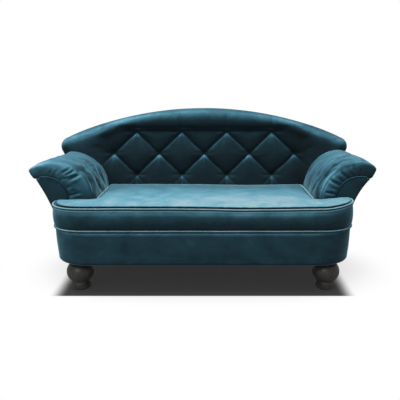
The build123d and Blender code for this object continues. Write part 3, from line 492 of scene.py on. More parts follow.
def sweep_cord(name, path, radius, finish, closed=False, twist=0.0):
    """A round covered cord along a path of points. Twist is the share by which its cover winds."""
    path = np.asarray(path, float)
    count, around = len(path), CORD_SIDES
    if closed:
        tangents = np.roll(path, -1, 0) - np.roll(path, 1, 0)
    else:
        tangents = np.gradient(path, axis=0)
    tangents /= np.linalg.norm(tangents, axis=1)[:, None]
    length = way_along(path)
    side = np.cross(tangents[0], (0, 0, 1))
    if np.linalg.norm(side) < 0.1:
        side = np.cross(tangents[0], (0, 1, 0))
    side /= np.linalg.norm(side)
    points = []
    for place, tangent, way in zip(path, tangents, length):
        side = side - tangent * (side @ tangent)
        side /= np.linalg.norm(side)
        up = np.cross(tangent, side)
        for turn in range(around):
            angle = 2 * pi * turn / around
            thick = radius * (1 + twist * sin(way * 0.45 + angle))
            points.append(place + thick * (side * cos(angle) + up * sin(angle)))
    faces = ring_faces(count, around, closed)
    if not closed:
        for end, sign in ((0, -1), (count - 1, 1)):
            points.append(path[end] + tangents[end] * sign * radius * 0.6)
            ring = [end * around + turn for turn in range(around)]
            faces += [(a, b, len(points) - 1) for a, b in zip(ring, ring[1:] + ring[:1])]
    return make_piece(name, points, faces, finish)


def panel(
    name, outline, step, place, thick, finish, puff=0.0, puff_run=30.0, edge=2.0, holes=(), wave=0.0, seed=1,
):
    """A covered panel. place(u, v, height) puts a point of its outline in space; the face is
    rounded at its border and puffs out a little inside it."""
    loops = [outline, *holes]
    border = np.concatenate(loops)
    low, high = outline.min(0), outline.max(0)
    tree = plane_tree(border)

    def covered(point):
        return inside(point, outline) and not any(inside(point, h) for h in holes)

    grid = [
        (u, v)
        for row, v in enumerate(np.arange(low[1] + step / 2, high[1], step * 0.87))
        for u in np.arange(low[0] + step / (4 if row % 2 else 1.4), high[0], step)
    ]
    inner = [p for p in grid if covered(p) and tree.find((*p, 0))[2] > step * 0.45]
    edges = []
    start = 0
    for loop in loops:
        edges += [(start + n, start + (n + 1) % len(loop)) for n in range(len(loop))]
        start += len(loop)
    flat, _, faces, _, _, _ = delaunay_2d_cdt([tuple(p) for p in border] + inner, edges, [], 1, 1e-4)
    flat = np.array([tuple(p) for p in flat])
    faces = [f for f in faces if covered(flat[list(f)].mean(0))]
    gap = np.array([tree.find((u, v, 0))[2] for u, v in flat])
    on_border = gap < 1e-3
    height = thick - edge * (1 - np.sqrt(np.clip(1 - (1 - np.clip(gap / edge / 2, 0, 1)) ** 2, 0, 1)))
    height = height + puff * (1 - np.exp(-gap / puff_run))
    height = height + wave * blur_noise(flat[:, 0], flat[:, 1], 90, seed) * np.clip(gap / 20, 0, 1)
    count = len(flat)
    points = [place(u, v, h) for (u, v), h in zip(flat, height)]
    points += [place(u, v, 0.0) for u, v in flat]
    made = [tuple(f) for f in faces] + [tuple(count + n for n in reversed(f)) for f in faces]
    sides = dict.fromkeys((a, b) for f in faces for a, b in zip(f, [*f[1:], f[0]]))
    for a, b in sides:
        if (b, a) not in sides and on_border[a] and on_border[b]:
            made.append((b, a, a + count, b + count))
    return make_piece(name, points, made, finish)


# Finishes. The sizes of their patterns are in millimetres too.


def linear(colour):
    """A hex sRGB colour as linear RGBA."""
    parts = [int(colour[n : n + 2], 16) / 255 for n in (0, 2, 4)]
    return (*[c / 12.92 if c <= 0.04045 else ((c + 0.055) / 1.055) ** 2.4 for c in parts], 1.0)


def give(node, inputs):
    """Gives a node's inputs a value, or another node's socket."""
    for name, value in inputs.items():
        socket = node.inputs[name]
        if isinstance(value, bpy.types.NodeSocket):
            node.id_data.links.new(value, socket)
        else:
            socket.default_value = value


def add_node(tree, kind, inputs=None, gives=0, stops=(), **settings):
    """Adds a node with its settings and inputs, and returns the output that it gives. Stops are
    the (place, hex colour) of a ramp of colours."""
    node = tree.nodes.new(kind)
    for name, value in settings.items():
        setattr(node, name, value)
    for _ in stops[2:]:
        node.color_ramp.elements.new(0.5)
    for number, (place, colour) in enumerate(stops):
        node.color_ramp.elements[number].position = place
        node.color_ramp.elements[number].color = linear(colour)
    give(node, inputs or {})
    return node.outputs[gives] if node.outputs else node


def new_finish(name, kind="ShaderNodeBsdfPrincipled"):
    """An empty finish, with its tree and its shader."""
    finish = bpy.data.materials.new(name)
    finish.use_nodes = True
    tree = finish.node_tree
    tree.nodes.clear()
    surface = add_node(tree, kind)
    add_node(tree, "ShaderNodeOutputMaterial", {"Surface": surface})
    return finish, tree, surface.node


def pattern(tree, kind, size, stretch=(1, 1, 1), gives=0, **inputs):
    """A procedural texture on the piece's own coordinates, with one repeat in that size."""
    where = add_node(tree, "ShaderNodeTexCoord", gives="Object")
    mapped = add_node(tree, "ShaderNodeMapping", {"Vector": where, "Scale": stretch})
    return add_node(tree, kind, {"Vector": mapped, "Scale": 1 / (size * MM), **inputs}, gives)


def velvet(name, sheen):
    """Cut-pile polyester velvet, woven face to face and slit: it drinks light face on, is painted lighter
    where the painted light falls, and keeps the marks of whatever brushed it."""
    finish, tree, shader = new_finish(name)
    nap = add_node(tree, "ShaderNodeAttribute", gives="Fac", attribute_name="nap")
    brushed = pattern(
        tree, "ShaderNodeTexNoise", 62.5, (1, 1, 1.4), Detail=5.0, Roughness=0.62, Distortion=0.4,
    )
    # The real pile is too fine to show, so it is drawn coarser.
    pile = pattern(tree, "ShaderNodeTexNoise", 1.11, Detail=2.0, Roughness=0.6)
    marks = add_node(
        tree, "ShaderNodeMapRange",
        {"Value": brushed, "From Min": 0.3, "From Max": 0.7, "To Min": -0.06, "To Max": 0.06},
    )
    shade = add_node(tree, "ShaderNodeMath", {0: nap, 1: marks}, operation="ADD")
    brush = {"Strength": 0.25, "Distance": 4 * MM, "Height": brushed}
    fine = {"Strength": 0.25, "Distance": 0.6 * MM, "Height": pile}
    fine["Normal"] = add_node(tree, "ShaderNodeBump", brush)
    give(shader, {
        "Base Color": add_node(tree, "ShaderNodeValToRGB", {"Fac": shade}, stops=VELVET_PAINTED_LIGHT_RAMP),
        "Normal": add_node(tree, "ShaderNodeBump", fine),
        "Roughness": 0.9, "Specular IOR Level": 0.15, "Sheen Weight": sheen, "Sheen Roughness": 0.35,
        "Sheen Tint": linear("8fcbe2"),
    })
    return finish


def wood(name, dark, light, gloss, coat, along, grain):
    """Planed or turned timber, or the face of plywood: soft streaks along its grain, and a thin
    shine where it is lacquered. Grain is the width of the streaks."""
    finish, tree, shader = new_finish(name)
    rings = pattern(tree, "ShaderNodeTexNoise", grain, along, Detail=4.0, Roughness=0.6)
    shine = {"Value": rings, "To Min": gloss - 0.06, "To Max": gloss + 0.08}
    pores = {"Strength": 0.2, "Distance": 0.4 * MM, "Height": rings}
    stops = (0.3, dark), (0.7, light)
    give(shader, {
        "Base Color": add_node(tree, "ShaderNodeValToRGB", {"Fac": rings}, stops=stops),
        "Roughness": add_node(tree, "ShaderNodeMapRange", shine),
        "Normal": add_node(tree, "ShaderNodeBump", pores), "Coat Weight": coat, "Coat Roughness": 0.25,
    })
    return finish


def metal(name, colour, rough):
    """Plated steel, with the faint streaks of its plating."""
    finish, tree, shader = new_finish(name)
    streaks = pattern(tree, "ShaderNodeTexNoise", 1.67, (1, 0.2, 1), Detail=3.0)
    shine = {"Value": streaks, "To Min": rough - 0.08, "To Max": rough + 0.1}
    shine = add_node(tree, "ShaderNodeMapRange", shine)
    give(shader, {"Base Color": linear(colour), "Metallic": 1.0, "Roughness": shine})
    return finish


def cloth(name, dark, light, thread, rough=0.9):
    """Plain-woven or pressed cloth: dull, with a fine tooth. Thread is the spacing of its threads."""
    finish, tree, shader = new_finish(name)
    over = pattern(tree, "ShaderNodeTexWave", thread * WAVES, gives="Fac", Distortion=1.5, Detail=1.0)
    lint = pattern(tree, "ShaderNodeTexNoise", thread * WAVES * 1.25, Detail=3.0)
    both = add_node(tree, "ShaderNodeMath", {0: over, 1: lint}, operation="MULTIPLY")
    raised = {"Strength": 0.35, "Distance": 0.5 * MM, "Height": both}
    stops = (0.15, dark), (0.6, light)
    give(shader, {
        "Base Color": add_node(tree, "ShaderNodeValToRGB", {"Fac": both}, stops=stops),
        "Normal": add_node(tree, "ShaderNodeBump", raised), "Roughness": rough, "Sheen Weight": 0.2,
    })
    return finish


def foam(name, dark, light):
    """Open-cell polyurethane foam, cut from the block: matt, and pitted by its cells."""
    finish, tree, shader = new_finish(name)
    cells = pattern(tree, "ShaderNodeTexVoronoi", 1.43)
    pits = {"Strength": 0.5, "Distance": 0.8 * MM, "Height": cells}
    stops = (0.1, dark), (0.6, light)
    give(shader, {
        "Base Color": add_node(tree, "ShaderNodeValToRGB", {"Fac": cells}, stops=stops),
        "Normal": add_node(tree, "ShaderNodeBump", pits), "Roughness": 0.95,
    })
    return finish


# Bands that a wave texture draws in one repeat
WAVES = 20 / (2 * pi)
# The velvet's colours from painted shade to painted light
VELVET_PAINTED_LIGHT_RAMP = [
    (0.0, "0c1417"), (0.35, "12232a"), (0.5, "182d35"), (0.64, "22424e"), (0.8, "3b6a7c"),
    (0.94, "6097aa"), (1.0, "8baab3"),
]
velvet_cloth = velvet("velvet_cut_pile", 0.85)
velvet_cord = velvet("velvet_bias_cord", 0.6)
stained_beech = wood("stained_beech_lacquered", "22211e", "393733", 0.42, 0.25, (1, 1, 0.06), 4.55)
sawn_pine = wood("planed_pine", "b88f5c", "d8b883", 0.65, 0.0, (0.06, 1, 1), 6.25)
birch_ply = wood("birch_plywood", "a37b4c", "c9a36f", 0.7, 0.0, (0.1, 1, 6), 11.1)
zinc_plate = metal("zinc_plated_steel", "a7aaad", 0.38)
nickel_plate = metal("nickel_plated_zinc", "b9b6b0", 0.24)
felt_pad = cloth("pressed_wool_felt", "35312e", "4f4a46", 0.628, 0.98)
lining_cloth = cloth("woven_lining", "141617", "26292b", 0.349)
fleece_cloth = cloth("spunbonded_polypropylene", "101112", "222426", 0.748)
waxed_twine = cloth("waxed_linen_twine", "9c8d6e", "c9bb98", 0.224)
tape_cloth = cloth("woven_polyester_tape", "162b34", "25424f", 0.242)
thread_cloth = cloth("polyester_thread", "2a4b59", "3f6878", 0.126)
coil_nylon = cloth("nylon_zip_coil", "1b323c", "2c4b58", 0.209, 0.45)
cushion_foam = foam("cut_polyurethane_foam", "c9c1a4", "ece5cd")


# Repeated shapes


def row_of(name, path, shape, spacing, finish, closed=False):
    """Repeats a small shape along a path, each turned along it, with geometry nodes."""
    mesh = bpy.data.meshes.new(name)
    count = len(path)
    ends = count if closed else count - 1
    mesh.from_pydata((np.asarray(path, float) * MM).tolist(), [(n, (n + 1) % count) for n in range(ends)], [])
    row = add_object(name, mesh)
    tree = bpy.data.node_groups.new(f"{name}_row", "GeometryNodeTree")
    sockets = {}
    for label, kind in (("Path", "Geometry"), ("Spacing", "Float"), ("Shape", "Object")):
        sockets[label] = tree.interface.new_socket(label, in_out="INPUT", socket_type=f"NodeSocket{kind}")
    tree.interface.new_socket("Row", in_out="OUTPUT", socket_type="NodeSocketGeometry")
    given = add_node(tree, "NodeGroupInput").node.outputs
    line = add_node(tree, "GeometryNodeMeshToCurve", {"Mesh": given["Path"]})
    marks = {"Curve": line, "Length": given["Spacing"]}
    marks = add_node(tree, "GeometryNodeCurveToPoints", marks, mode="LENGTH").node.outputs
    made = add_node(tree, "GeometryNodeObjectInfo", {"Object": given["Shape"]}, "Geometry")
    made = {"Points": marks["Points"], "Instance": made, "Rotation": marks["Rotation"]}
    placed = add_node(tree, "GeometryNodeInstanceOnPoints", made)
    real = add_node(tree, "GeometryNodeRealizeInstances", {"Geometry": placed})
    dressed = add_node(tree, "GeometryNodeSetMaterial", {"Geometry": real, "Material": finish})
    add_node(tree, "NodeGroupOutput", {"Row": dressed})
    modifier = row.modifiers.new("row", "NODES")
    modifier.node_group = tree
    modifier[sockets["Spacing"].identifier] = spacing * MM
    modifier[sockets["Shape"].identifier] = shape
    bake(row, finish)
    bpy.data.objects.remove(shape)
    return even_finish(row)


def bent_wire(name, path, radius, axes):
    """A short piece of wire, for repeating: one stitch, staple or coil turn. Axes puts its x, y and
    z in the row's own order, with signs."""
    wire = sweep_cord(name, path, radius, coil_nylon)
    points = get_points(wire)
    set_points(wire, np.column_stack([points[:, abs(a) - 1] * np.sign(a) for a in axes]))
    mend(wire)
    return wire


# Seat cushion


def seat_outline(inset, step, worn=0.0):
    """The cushion's T-shaped outline. Worn moves its right side out, where the arm gives way."""
    side, ear = SEAT_SIDE - inset, SEAT_EAR - inset
    notch, rear = SEAT_EAR_Y - inset, seat_rear_y - inset
    outer, inner = SEAT_CORNER_RADIUS - inset, SEAT_CORNER_RADIUS + inset
    half = [(ear, front_y + inset, SEAT_FRONT_RADIUS - inset), (ear, notch, outer)]
    right = [(side + worn, notch, inner), (side + worn, rear, outer)]
    left = [(-side, rear, outer), (-side, notch, inner)]
    return rounded(half + right + left + [(-x, y, radius) for x, y, radius in half[::-1]], step)


def seat_wander(x):
    """How far the seat's top seam wanders up and down from left to right."""
    return 6.5 * ease((x - 340) / 105) - 3.0 * bump(x - 150, 140) - 1.5 * ease((-x - 330) / 110)


def seat_cushion():
    """Crowned top and plain bottom, joined by a boxing that bellies between its two seams."""
    top = SEAT_SEAM + 4.5
    levels = [
        (6, seat_bottom + 0.6), (4, seat_bottom + 3), (3, seat_bottom + 8), (1.5, seat_bottom + 22),
        (1.0, seat_bottom + 35), (1.5, seat_bottom + 48), (3, SEAT_SEAM - 4), (4, SEAT_SEAM),
        (6, SEAT_SEAM + 3), (10, top),
    ]
    flats = [seat_outline(inset, 8, WORN) for inset, _ in levels]
    count = min(len(flat) for flat in flats)
    rings = [spaced(np.vstack((flat, flat[:1])), count, endpoint=False) for flat in flats]
    piece = loft("seat_cushion", [at_level(ring, z) for ring, (_, z) in zip(rings, levels)])
    even_out(piece, 6.5)
    points = get_points(piece)
    z = points[:, 2]
    gap = distance_to(points[:, :2], seat_outline(3, 4, WORN))
    swell(piece, (z < seat_bottom + 4) | ((np.abs(z - SEAT_SEAM) < 4) & (gap < 7)), 9)
    refine(piece)
    points = get_points(piece)
    cord_line = seat_outline(2.2, 2.5, WORN)
    gap = distance_to(points[:, :2], cord_line)
    z = points[:, 2]
    divide_near(piece, (gap < 14) & (z > SEAT_SEAM - 8) | (gap < 8) & (z < seat_bottom + 12))
    points = get_points(piece)
    x, y, z = points.T
    gap = distance_to(points[:, :2], cord_line)
    # The top: its edge turns down sharply behind the cord, and it crowns between the arms.
    on_top = ease((z - SEAT_SEAM + 0.5) / 2.5)
    edge = 8.0 * ease((gap - 4.2) / 3.6) - 2.2
    crown = 5.0 * (1 - np.exp(-np.clip(gap - 7, 0, None) / 50))
    blown = np.clip(z - top, -4, 10) * 0.25
    waves_and_painted_light = blur_noise(x, y, 230, 5) * 0.9 + blur_noise(x, y * 1.4, 110, 6) * 0.3
    puckers = np.sin(x * 0.17 + blur_noise(x, y, 60, 8) * 2) * 0.35 * np.exp(-np.clip(gap - 5, 0, None) / 12)
    wanted = SEAT_SEAM + edge + crown + blown + waves_and_painted_light * np.clip(gap / 60, 0, 1) + puckers
    wanted -= 4.0 * ease((y - 20) / 100)
    z = z + on_top * (wanted - z)
    # The boxing: pulled in at its two seams, fullest a little above its middle.
    rise = np.clip((z - seat_bottom - 3) / (SEAT_SEAM - seat_bottom - 3), 0, 1)
    side = (1 - on_top) * np.clip(1 - gap / 12, 0, 1)
    away = points[:, :2] - nearest(points[:, :2], seat_outline(16, 3, WORN))
    away /= np.maximum(np.linalg.norm(away, axis=1), 1)[:, None]
    belly = np.maximum(2.6 * np.sin(pi * rise) ** 0.7, 3.3 * ease((rise - 0.78) / 0.14))
    belly += 0.5 * blur_noise(x + y, z, 90, 9)
    points[:, :2] += away * (side * (belly - 1.4))[:, None]
    z = z + seat_wander(x) * rise**1.4
    points[:, 2] = np.maximum(z, seat_bottom + 0.2)
    # Behind the zip the boxing lies flat.
    beside = np.maximum(np.abs(x) - zip_high[0], np.abs(z - zip_level) - 13)
    points[:, 1] = np.minimum(points[:, 1], zip_low[1] - 0.15 + 4 * ease((beside - 3) / 14))
    set_points(piece, points)
    # Painted light and shade on the top: a lighter patch right of the middle at the front, painted shade
    # towards the back, and a painted dark line in the crease behind the top cord.
    shade = 0.05 * bump(x - 150, 260) * ease((60 - y) / 160) - 0.17 * ease((y + 190) / 260)
    shade -= 0.75 * bump(gap - 6.6, 4.2) * ease((SEAT_SEAM + 12 - z) / 6) * ease((60 - y) / 60)
    # On the boxing: a painted highlight under the top cord, and painted shade at its foot.
    under_cord = SEAT_SEAM + seat_wander(x) - z
    boxing_painted_light = 0.35 * np.exp(-((under_cord - 4) / 10).clip(0) ** 1.5) - 0.16 * bump(z - seat_bottom, 9)
    paint_light(piece, -0.045, on_top * shade + (1 - on_top) * (0.09 + boxing_painted_light))
    return piece


# Back


def bow_circle(low, high, bow):
    """Centre and radius of the circle through two points that stands off their chord by bow."""
    run, rise = high[0] - low[0], high[1] - low[1]
    chord = hypot(run, rise)
    radius = (chord**2 / 4 + bow**2) / (2 * bow)
    reach = (radius - bow) / chord
    return np.array(((low[0] + high[0]) / 2 + rise * reach, (low[1] + high[1]) / 2 - run * reach)), radius


arch_centre = np.array((0.0, BACK_HEIGHT - ARCH_RADIUS))
shoulder = arch_centre[1] + sqrt(ARCH_RADIUS**2 - BACK_WIDEST**2)
side_centre, side_radius = bow_circle((BACK_FOOT, 0), (BACK_WIDEST, shoulder), 15)


def back_corner():
    """Centre of the rounded top corner: where circles round the arch's and the side's centres cross."""
    far, near = ARCH_RADIUS - BACK_CORNER, side_radius + BACK_CORNER
    run = side_centre - arch_centre
    apart = np.linalg.norm(run)
    along = (far**2 - near**2 + apart**2) / (2 * apart)
    off = sqrt(far**2 - along**2)
    run = run / apart
    return arch_centre + run * along + np.array((-run[1], run[0])) * off


def back_outline(inset, step, low=-22.0):
    """The arched outline, anticlockwise from the lower right corner, drawn in by inset."""
    corner = back_corner()
    side = side_radius + inset
    inward, up = corner - side_centre, corner - arch_centre
    first = atan2(low - side_centre[1], -sqrt(side**2 - (low - side_centre[1]) ** 2)) % (2 * pi)
    second = atan2(inward[1], inward[0]) % (2 * pi)
    start, end = atan2(-inward[1], -inward[0]), atan2(up[1], up[0])
    turn = (end - start + pi) % (2 * pi) - pi
    half = np.vstack((
        arc(side_centre, side, np.linspace(first, second, int(180 / step) + 2)),
        arc(corner, max(BACK_CORNER - inset, 0.5), np.linspace(start, start + turn, 10)),
        arc(arch_centre, ARCH_RADIUS - inset, np.linspace(end, pi / 2, int(500 / step) + 2)[1:]),
    ))
    return np.vstack((half, half[::-1][1:] * (-1, 1)))


def from_back(x, v, w):
    x, v, w = (np.asarray(c, float)[..., None] for c in (x, v, w))
    return back_foot + x * BACK_ACROSS + v * BACK_UP + w * BACK_OUT


back_tufts = [
    ((number - (count - 1) / 2) * TUFT_SPACING, TUFT_MIDDLE + row * TUFT_ROWS)
    for row, count in ((-1, 4), (0, 5), (1, 4))
    for number in range(count)
]


def field_top(x):
    """Height of the lower edge of the roll above the tufted field."""
    return 246 - 45 * np.clip((np.abs(x) - 245) / 110, 0, 1.4) ** 1.6


def field_share(x, v):
    """1 in the tufted field, 0 on the smooth roll round it."""
    soft = 13 + 30 * ease((np.abs(x) - 230) / 110)
    past = np.maximum((v - field_top(x)) / soft, (np.abs(x) - 335) / 45)
    return 1 - ease(past)


def back_valleys(x, v):
    """How deep the tufts and pleats pull the back's cover in."""
    wob_x = x + blur_noise(x, v, 70, 21) * 1.5
    wob_v = v + blur_noise(x, v, 70, 22) * 1.5
    # Pleats as start, end and how far they fade out. Those between two top tufts sag instead.
    pleats, sagging = [], []
    for cx, cv in back_tufts:
        for dx, dv in back_tufts:
            if abs(abs(cx - dx) - TUFT_SPACING / 2) < 1 and abs(dv - cv - TUFT_ROWS) < 1:
                pleats.append(((cx, cv), (dx, dv), 0))
            if cv == dv > TUFT_MIDDLE and abs(cx - dx + TUFT_SPACING) < 1:
                sagging.append(((cx, cv + 3), (dx, dv + 3)))
    for side in (-1, 1):
        pleats.append(((side * 316, 165), (side * 384, 99), 40))
        pleats.append(((side * 237, 243), (side * 300, 236), 40))
    diamond = np.full(x.shape, 999.0)
    for start, end, fades in pleats:
        gap, along = near_line(wob_x, wob_v, start, end)
        diamond = np.minimum(diamond, gap + fades * along**1.5)
    for start, end in sagging:
        gap, along = near_line(wob_x, wob_v, start, end)
        diamond = np.minimum(diamond, gap + 5 * np.sin(pi * along))
    depth = 8.0 * (1 - np.clip(diamond / 50, 0, 1)) ** 1.7 + 4.4 * np.exp(-((diamond / 4.6) ** 1.2))
    fine = 2.2 * np.exp(-((diamond / 2.6) ** 1.5))
    for number, (cx, cv) in enumerate(back_tufts):
        radius = np.hypot(wob_x - cx, wob_v - cv)
        angle = np.arctan2(wob_v - cv, wob_x - cx)
        depth += 5.0 * bump(radius, 12)
        fine += 0.8 * np.cos(9 * angle + number) * np.exp(-radius / 15) * np.clip(radius / 9, 0, 1)
        for way in (-1, 1):
            fine += fold_depth(wob_x, wob_v, [(cx, cv), (cx + way * 38, cv + 2)], 4.5, 1.6)
    return depth, fine


def back_darts(x, v):
    """Small gathers above the top row of tufts, and pleats from the bottom row to the seat."""
    total = np.zeros_like(x)
    # As the x and v of both ends from the tuft, the width and the depth
    above = [(off * 0.3, -8, off, 82, 4.5, deep) for off, deep in ((0, 2.6), (-12, 1.1), (13, 0.9))]
    below = [(0, 10, 2, -70, 8, 3.4), (0, 6, -52, -64, 8, 1.0), (0, 6, 50, -66, 8, 1.0)]
    for cx, cv in back_tufts:
        for x0, v0, x1, v1, wide, deep in above * (cv > TUFT_MIDDLE) + below * (cv < TUFT_MIDDLE):
            total += fold_depth(x, v, [(cx + x0, cv + v0), (cx + x1, cv + v1)], wide, deep)
    return total


def back_pad():
    turns = np.linspace(0, pi / 2, 8)[1:]
    plan = [(3.0, 5.6), (1.2, 12), (1.0, 50), (1.0, 70), (1.0, 84)]
    plan += [(1.0 + ROLL_ROUND * (1 - cos(t)), 84 + ROLL_ROUND * sin(t)) for t in turns]
    piece = loft("back_pad", [at_level(back_outline(inset, 10), w) for inset, w in plan])
    even_out(piece, 5.5)
    local = get_points(piece)
    x, v, w = local.T
    depth, _ = back_valleys(x, v)
    tuft_gap = distance_to(local[:, :2], np.array(back_tufts))
    held = (w < 40) | (v < -12) | (tuft_gap < 6)
    local[:, 2] -= ease((w - 60) / 22) * field_share(x, v) * (13 + 0.6 * depth)
    set_points(piece, local)
    swell(piece, held, 4)
    refine(piece)
    relax(piece, 2)
    local = get_points(piece)
    x, v, w = local.T
    depth, fine = back_valleys(x, v)
    front = ease((w - 50) / 20)
    field = field_share(x, v)
    local[:, 2] -= front * (field * (0.5 * depth + fine) + back_darts(x, v))
    local[:, 2] += front * blur_noise(x, v, 130, 31) * 0.8
    # The cover stays in front of the hidden ties.
    tuft_gap = distance_to(local[:, :2], np.array(back_tufts))
    least = np.where(tuft_gap < 9, TIE_FRONT + 2.2 - tuft_gap * 0.1, 0)
    local[:, 2] = np.clip(local[:, 2], least, ROLL_FRONT + 2)
    points = from_back(*local.T)
    points[:, 2] = np.maximum(points[:, 2], deck_top + CLEAR)
    set_points(piece, points)
    # Down is 0 at the roll's top edge and 1 at its lower one.
    low = np.minimum(field_top(x), 250)
    top = arch_centre[1] + np.sqrt(ARCH_RADIUS**2 - np.minimum(np.abs(x), 515) ** 2)
    down = (top - v) / np.maximum(top - low, 30)
    # Painted light on the roll: a lit band across its upper part, with painted shade at its top edge and
    # below the band.
    half_lit = 0.42 + 0.07 * blur_noise(x, x * 0, 190, 61) + 0.08 * ease((x - 250) / 120)
    roll = 0.08 * ease(down / 0.2) * ease((half_lit + 0.2 - down) / 0.36) - 0.2 * ease((0.25 - down) / 0.25)
    roll -= (0.10 - 0.04 * ease((np.abs(x) - 380) / 90)) * ease((down - half_lit) / 0.3)
    roll += 0.02 * ease((np.abs(x) - 250) / 150)
    # Painted light and shade in the tufted field: painted highlights below the tufts and along the pleats,
    # and painted shade over the rest, darker low down and on the right.
    fan_highlight, line = tuft_highlights(x, v)
    tufted = 0.27 * fan_highlight + 0.13 * line - 0.14 - 0.07 * ease((155 - v) / 30) - 0.07 * ease((x - 260) / 60)
    shade = field * tufted + (1 - field) * roll
    # Painted shadow under the right end of the roll.
    shade -= 0.16 * ease((x - 290) / 60) * ease((455 - x) / 40) * ease((down - 0.32) / 0.12)
    paint_light(piece, -0.03, front * shade, rounds=2, contrast=0.8, middle=0.57)
    return piece


def tuft_highlights(x, v):
    """Painted highlights where light from above falls: a fan below each tuft, and a light line along the
    lower edge of each pleat with painted shade beside it.
    """
    fan_highlight, line = np.zeros_like(x), np.zeros_like(x)
    half = TUFT_SPACING / 2
    for cx, cv in back_tufts:
        off, up = x - cx, v - cv
        radius = np.hypot(off, up * 0.8)
        angle = np.abs(np.arctan2(off, -up))
        rays = 0.8 + 0.2 * np.cos(angle * 11 + cx)
        fan = np.exp(-((radius / 30) ** 1.5)) * ease((1.05 - angle) / 0.6) * rays * ease(radius / 9)
        fan_highlight += fan * (0.3 if cv < TUFT_MIDDLE else 1.0)
        fan_highlight += 0.35 * bump(up + 1, 3) * bump(off, 30)
        if cv < TUFT_MIDDLE:
            fan_highlight += 0.3 * bump(up + 3, 3) * bump(off, 20) + 0.5 * bump(off, 3) * ease(-up / 12)
        for way in (-1, 1):
            gap = (off * way * TUFT_ROWS + up * half) / hypot(TUFT_ROWS, half)
            along = (off * way * half - up * TUFT_ROWS) / (TUFT_ROWS**2 + half**2)
            seen = ease(along / 0.06) * ease((1.02 - along) / 0.5)
            line += seen * (bump(gap + 4.2, 2.6) - 0.5 * bump(gap - 3.5, 3.5))
    return fan_highlight, line


# Arms


def arm_fan(out):
    share = out / PAD_THICK
    return TIP_X + NOSE_REACH * share, TIP_Z + NOSE_THICK * share


def arm_curve(out):
    """One side of the arm's section, from its foot round the bend to its tip, as (x, z)."""
    radius = BOARD_RADIUS + out
    tip_x, tip_z = arm_fan(out)
    reach, drop = tip_x - BEND_X, BEND_Z + radius - tip_z
    top = (reach**2 + drop**2) / (2 * drop)
    foot = [(BEND_X - radius, z) for z in np.linspace(deck_top + CLEAR, BEND_Z, 10)[:-1]]
    bend = arc((BEND_X, BEND_Z), radius, np.linspace(pi, pi / 2, 26)[:-1])
    over = np.linspace(pi / 2, pi / 2 - np.arcsin(reach / top), 9)
    return np.vstack((foot, bend, arc((BEND_X, BEND_Z + radius - top), top, over)))


def arm_rear_y(z):
    """Where the arm meets the front of the back."""
    return base_rear_y - (ROLL_FRONT + 0.6) / cos(LEAN) + (z - deck_top) * np.tan(LEAN)


def unroll(x, z):
    """Distance out from the board, and the way round the pad from the start of its bend."""
    apart_x, apart_z = BEND_X - x, z - BEND_Z
    angle = np.arctan2(apart_z, apart_x)
    out = np.hypot(apart_x, apart_z) - BOARD_RADIUS
    along = PAD_RADIUS * angle
    low = apart_z < 0
    out = np.where(low, apart_x - BOARD_RADIUS, out)
    along = np.where(low, apart_z, along)
    past = (apart_x < 0) & (apart_z > 0)
    out = np.where(past, apart_z - BOARD_RADIUS, out)
    along = np.where(past, PAD_RADIUS * pi / 2 - apart_x, along)
    return out, along


def cord_radius(angle, side):
    """How far from the bend's centre the facing ends and the cord runs, by the angle round it."""
    near, reach, power = (57.5, 24.0, 1.5) if side > 0 else (49.5, 32.0, 1.35)
    return near + reach * (np.clip(angle, 0, 125) / 125) ** power


def cord_curve(side):
    """The line between the pad and the facing, from the foot to the tip, as (x, z)."""
    made = [(BEND_X - cord_radius(0, side), z) for z in np.linspace(deck_top + CLEAR, BEND_Z, 10)[:-1]]
    end = np.degrees(atan2(TIP_Z - BEND_Z, BEND_X - TIP_X))
    for angle in np.linspace(0, end, 60):
        radius = cord_radius(angle, side)
        made.append((BEND_X - radius * cos(radians(angle)), BEND_Z + radius * sin(radians(angle))))
    return spaced(made, len(arm_curve(0)))


# Folds of the arm pads, as (way back from the arm's front, way round the pad), with their width
# and depth. No two upholstered arms pull the same way, so each has its own.
ARM_TUFTS = {
    1: [(57, 118), (110, 138), (190, 128), (42, 76), (98, 66), (160, 60), (225, 64)],
    -1: [(48, 101), (106, 98), (165, 120), (44, 60), (114, 44), (180, 50), (228, 108)],
}
ARM_FOLDS = {
    1: [
        ([(22, 20), (26, 50), (24, 84), (30, 120), (29, 160), (28, 205)], 3.6, 4.2),
        ([(52, 44), (46, 74), (56, 96), (58, 122), (84, 140), (96, 165)], 4.0, 4.6),
        ([(110, 138), (92, 152), (75, 168), (82, 190), (120, 212), (124, 240)], 4.4, 4.4),
        ([(98, 66), (104, 100), (118, 132)], 4.5, 2.6),
        ([(150, 10), (160, 60), (190, 128)], 5.0, 2.4),
        ([(80, 10), (70, 40), (74, 78)], 4.4, 3.2),
    ],
    -1: [
        ([(10, 112), (30, 106), (46, 96), (44, 73), (36, 44), (25, 20)], 4.6, 5.0),
        ([(134, 136), (105, 104), (58, 92)], 4.8, 4.4),
        ([(171, 128), (160, 108), (137, 96), (146, 80), (124, 50)], 4.6, 4.2),
        ([(90, 80), (104, 50), (109, 22), (150, 8)], 5.0, 5.2),
        ([(134, 136), (140, 180), (120, 226)], 5.0, 2.4),
        ([(215, 108), (185, 60), (190, 10)], 5.0, 3.0),
    ],
}
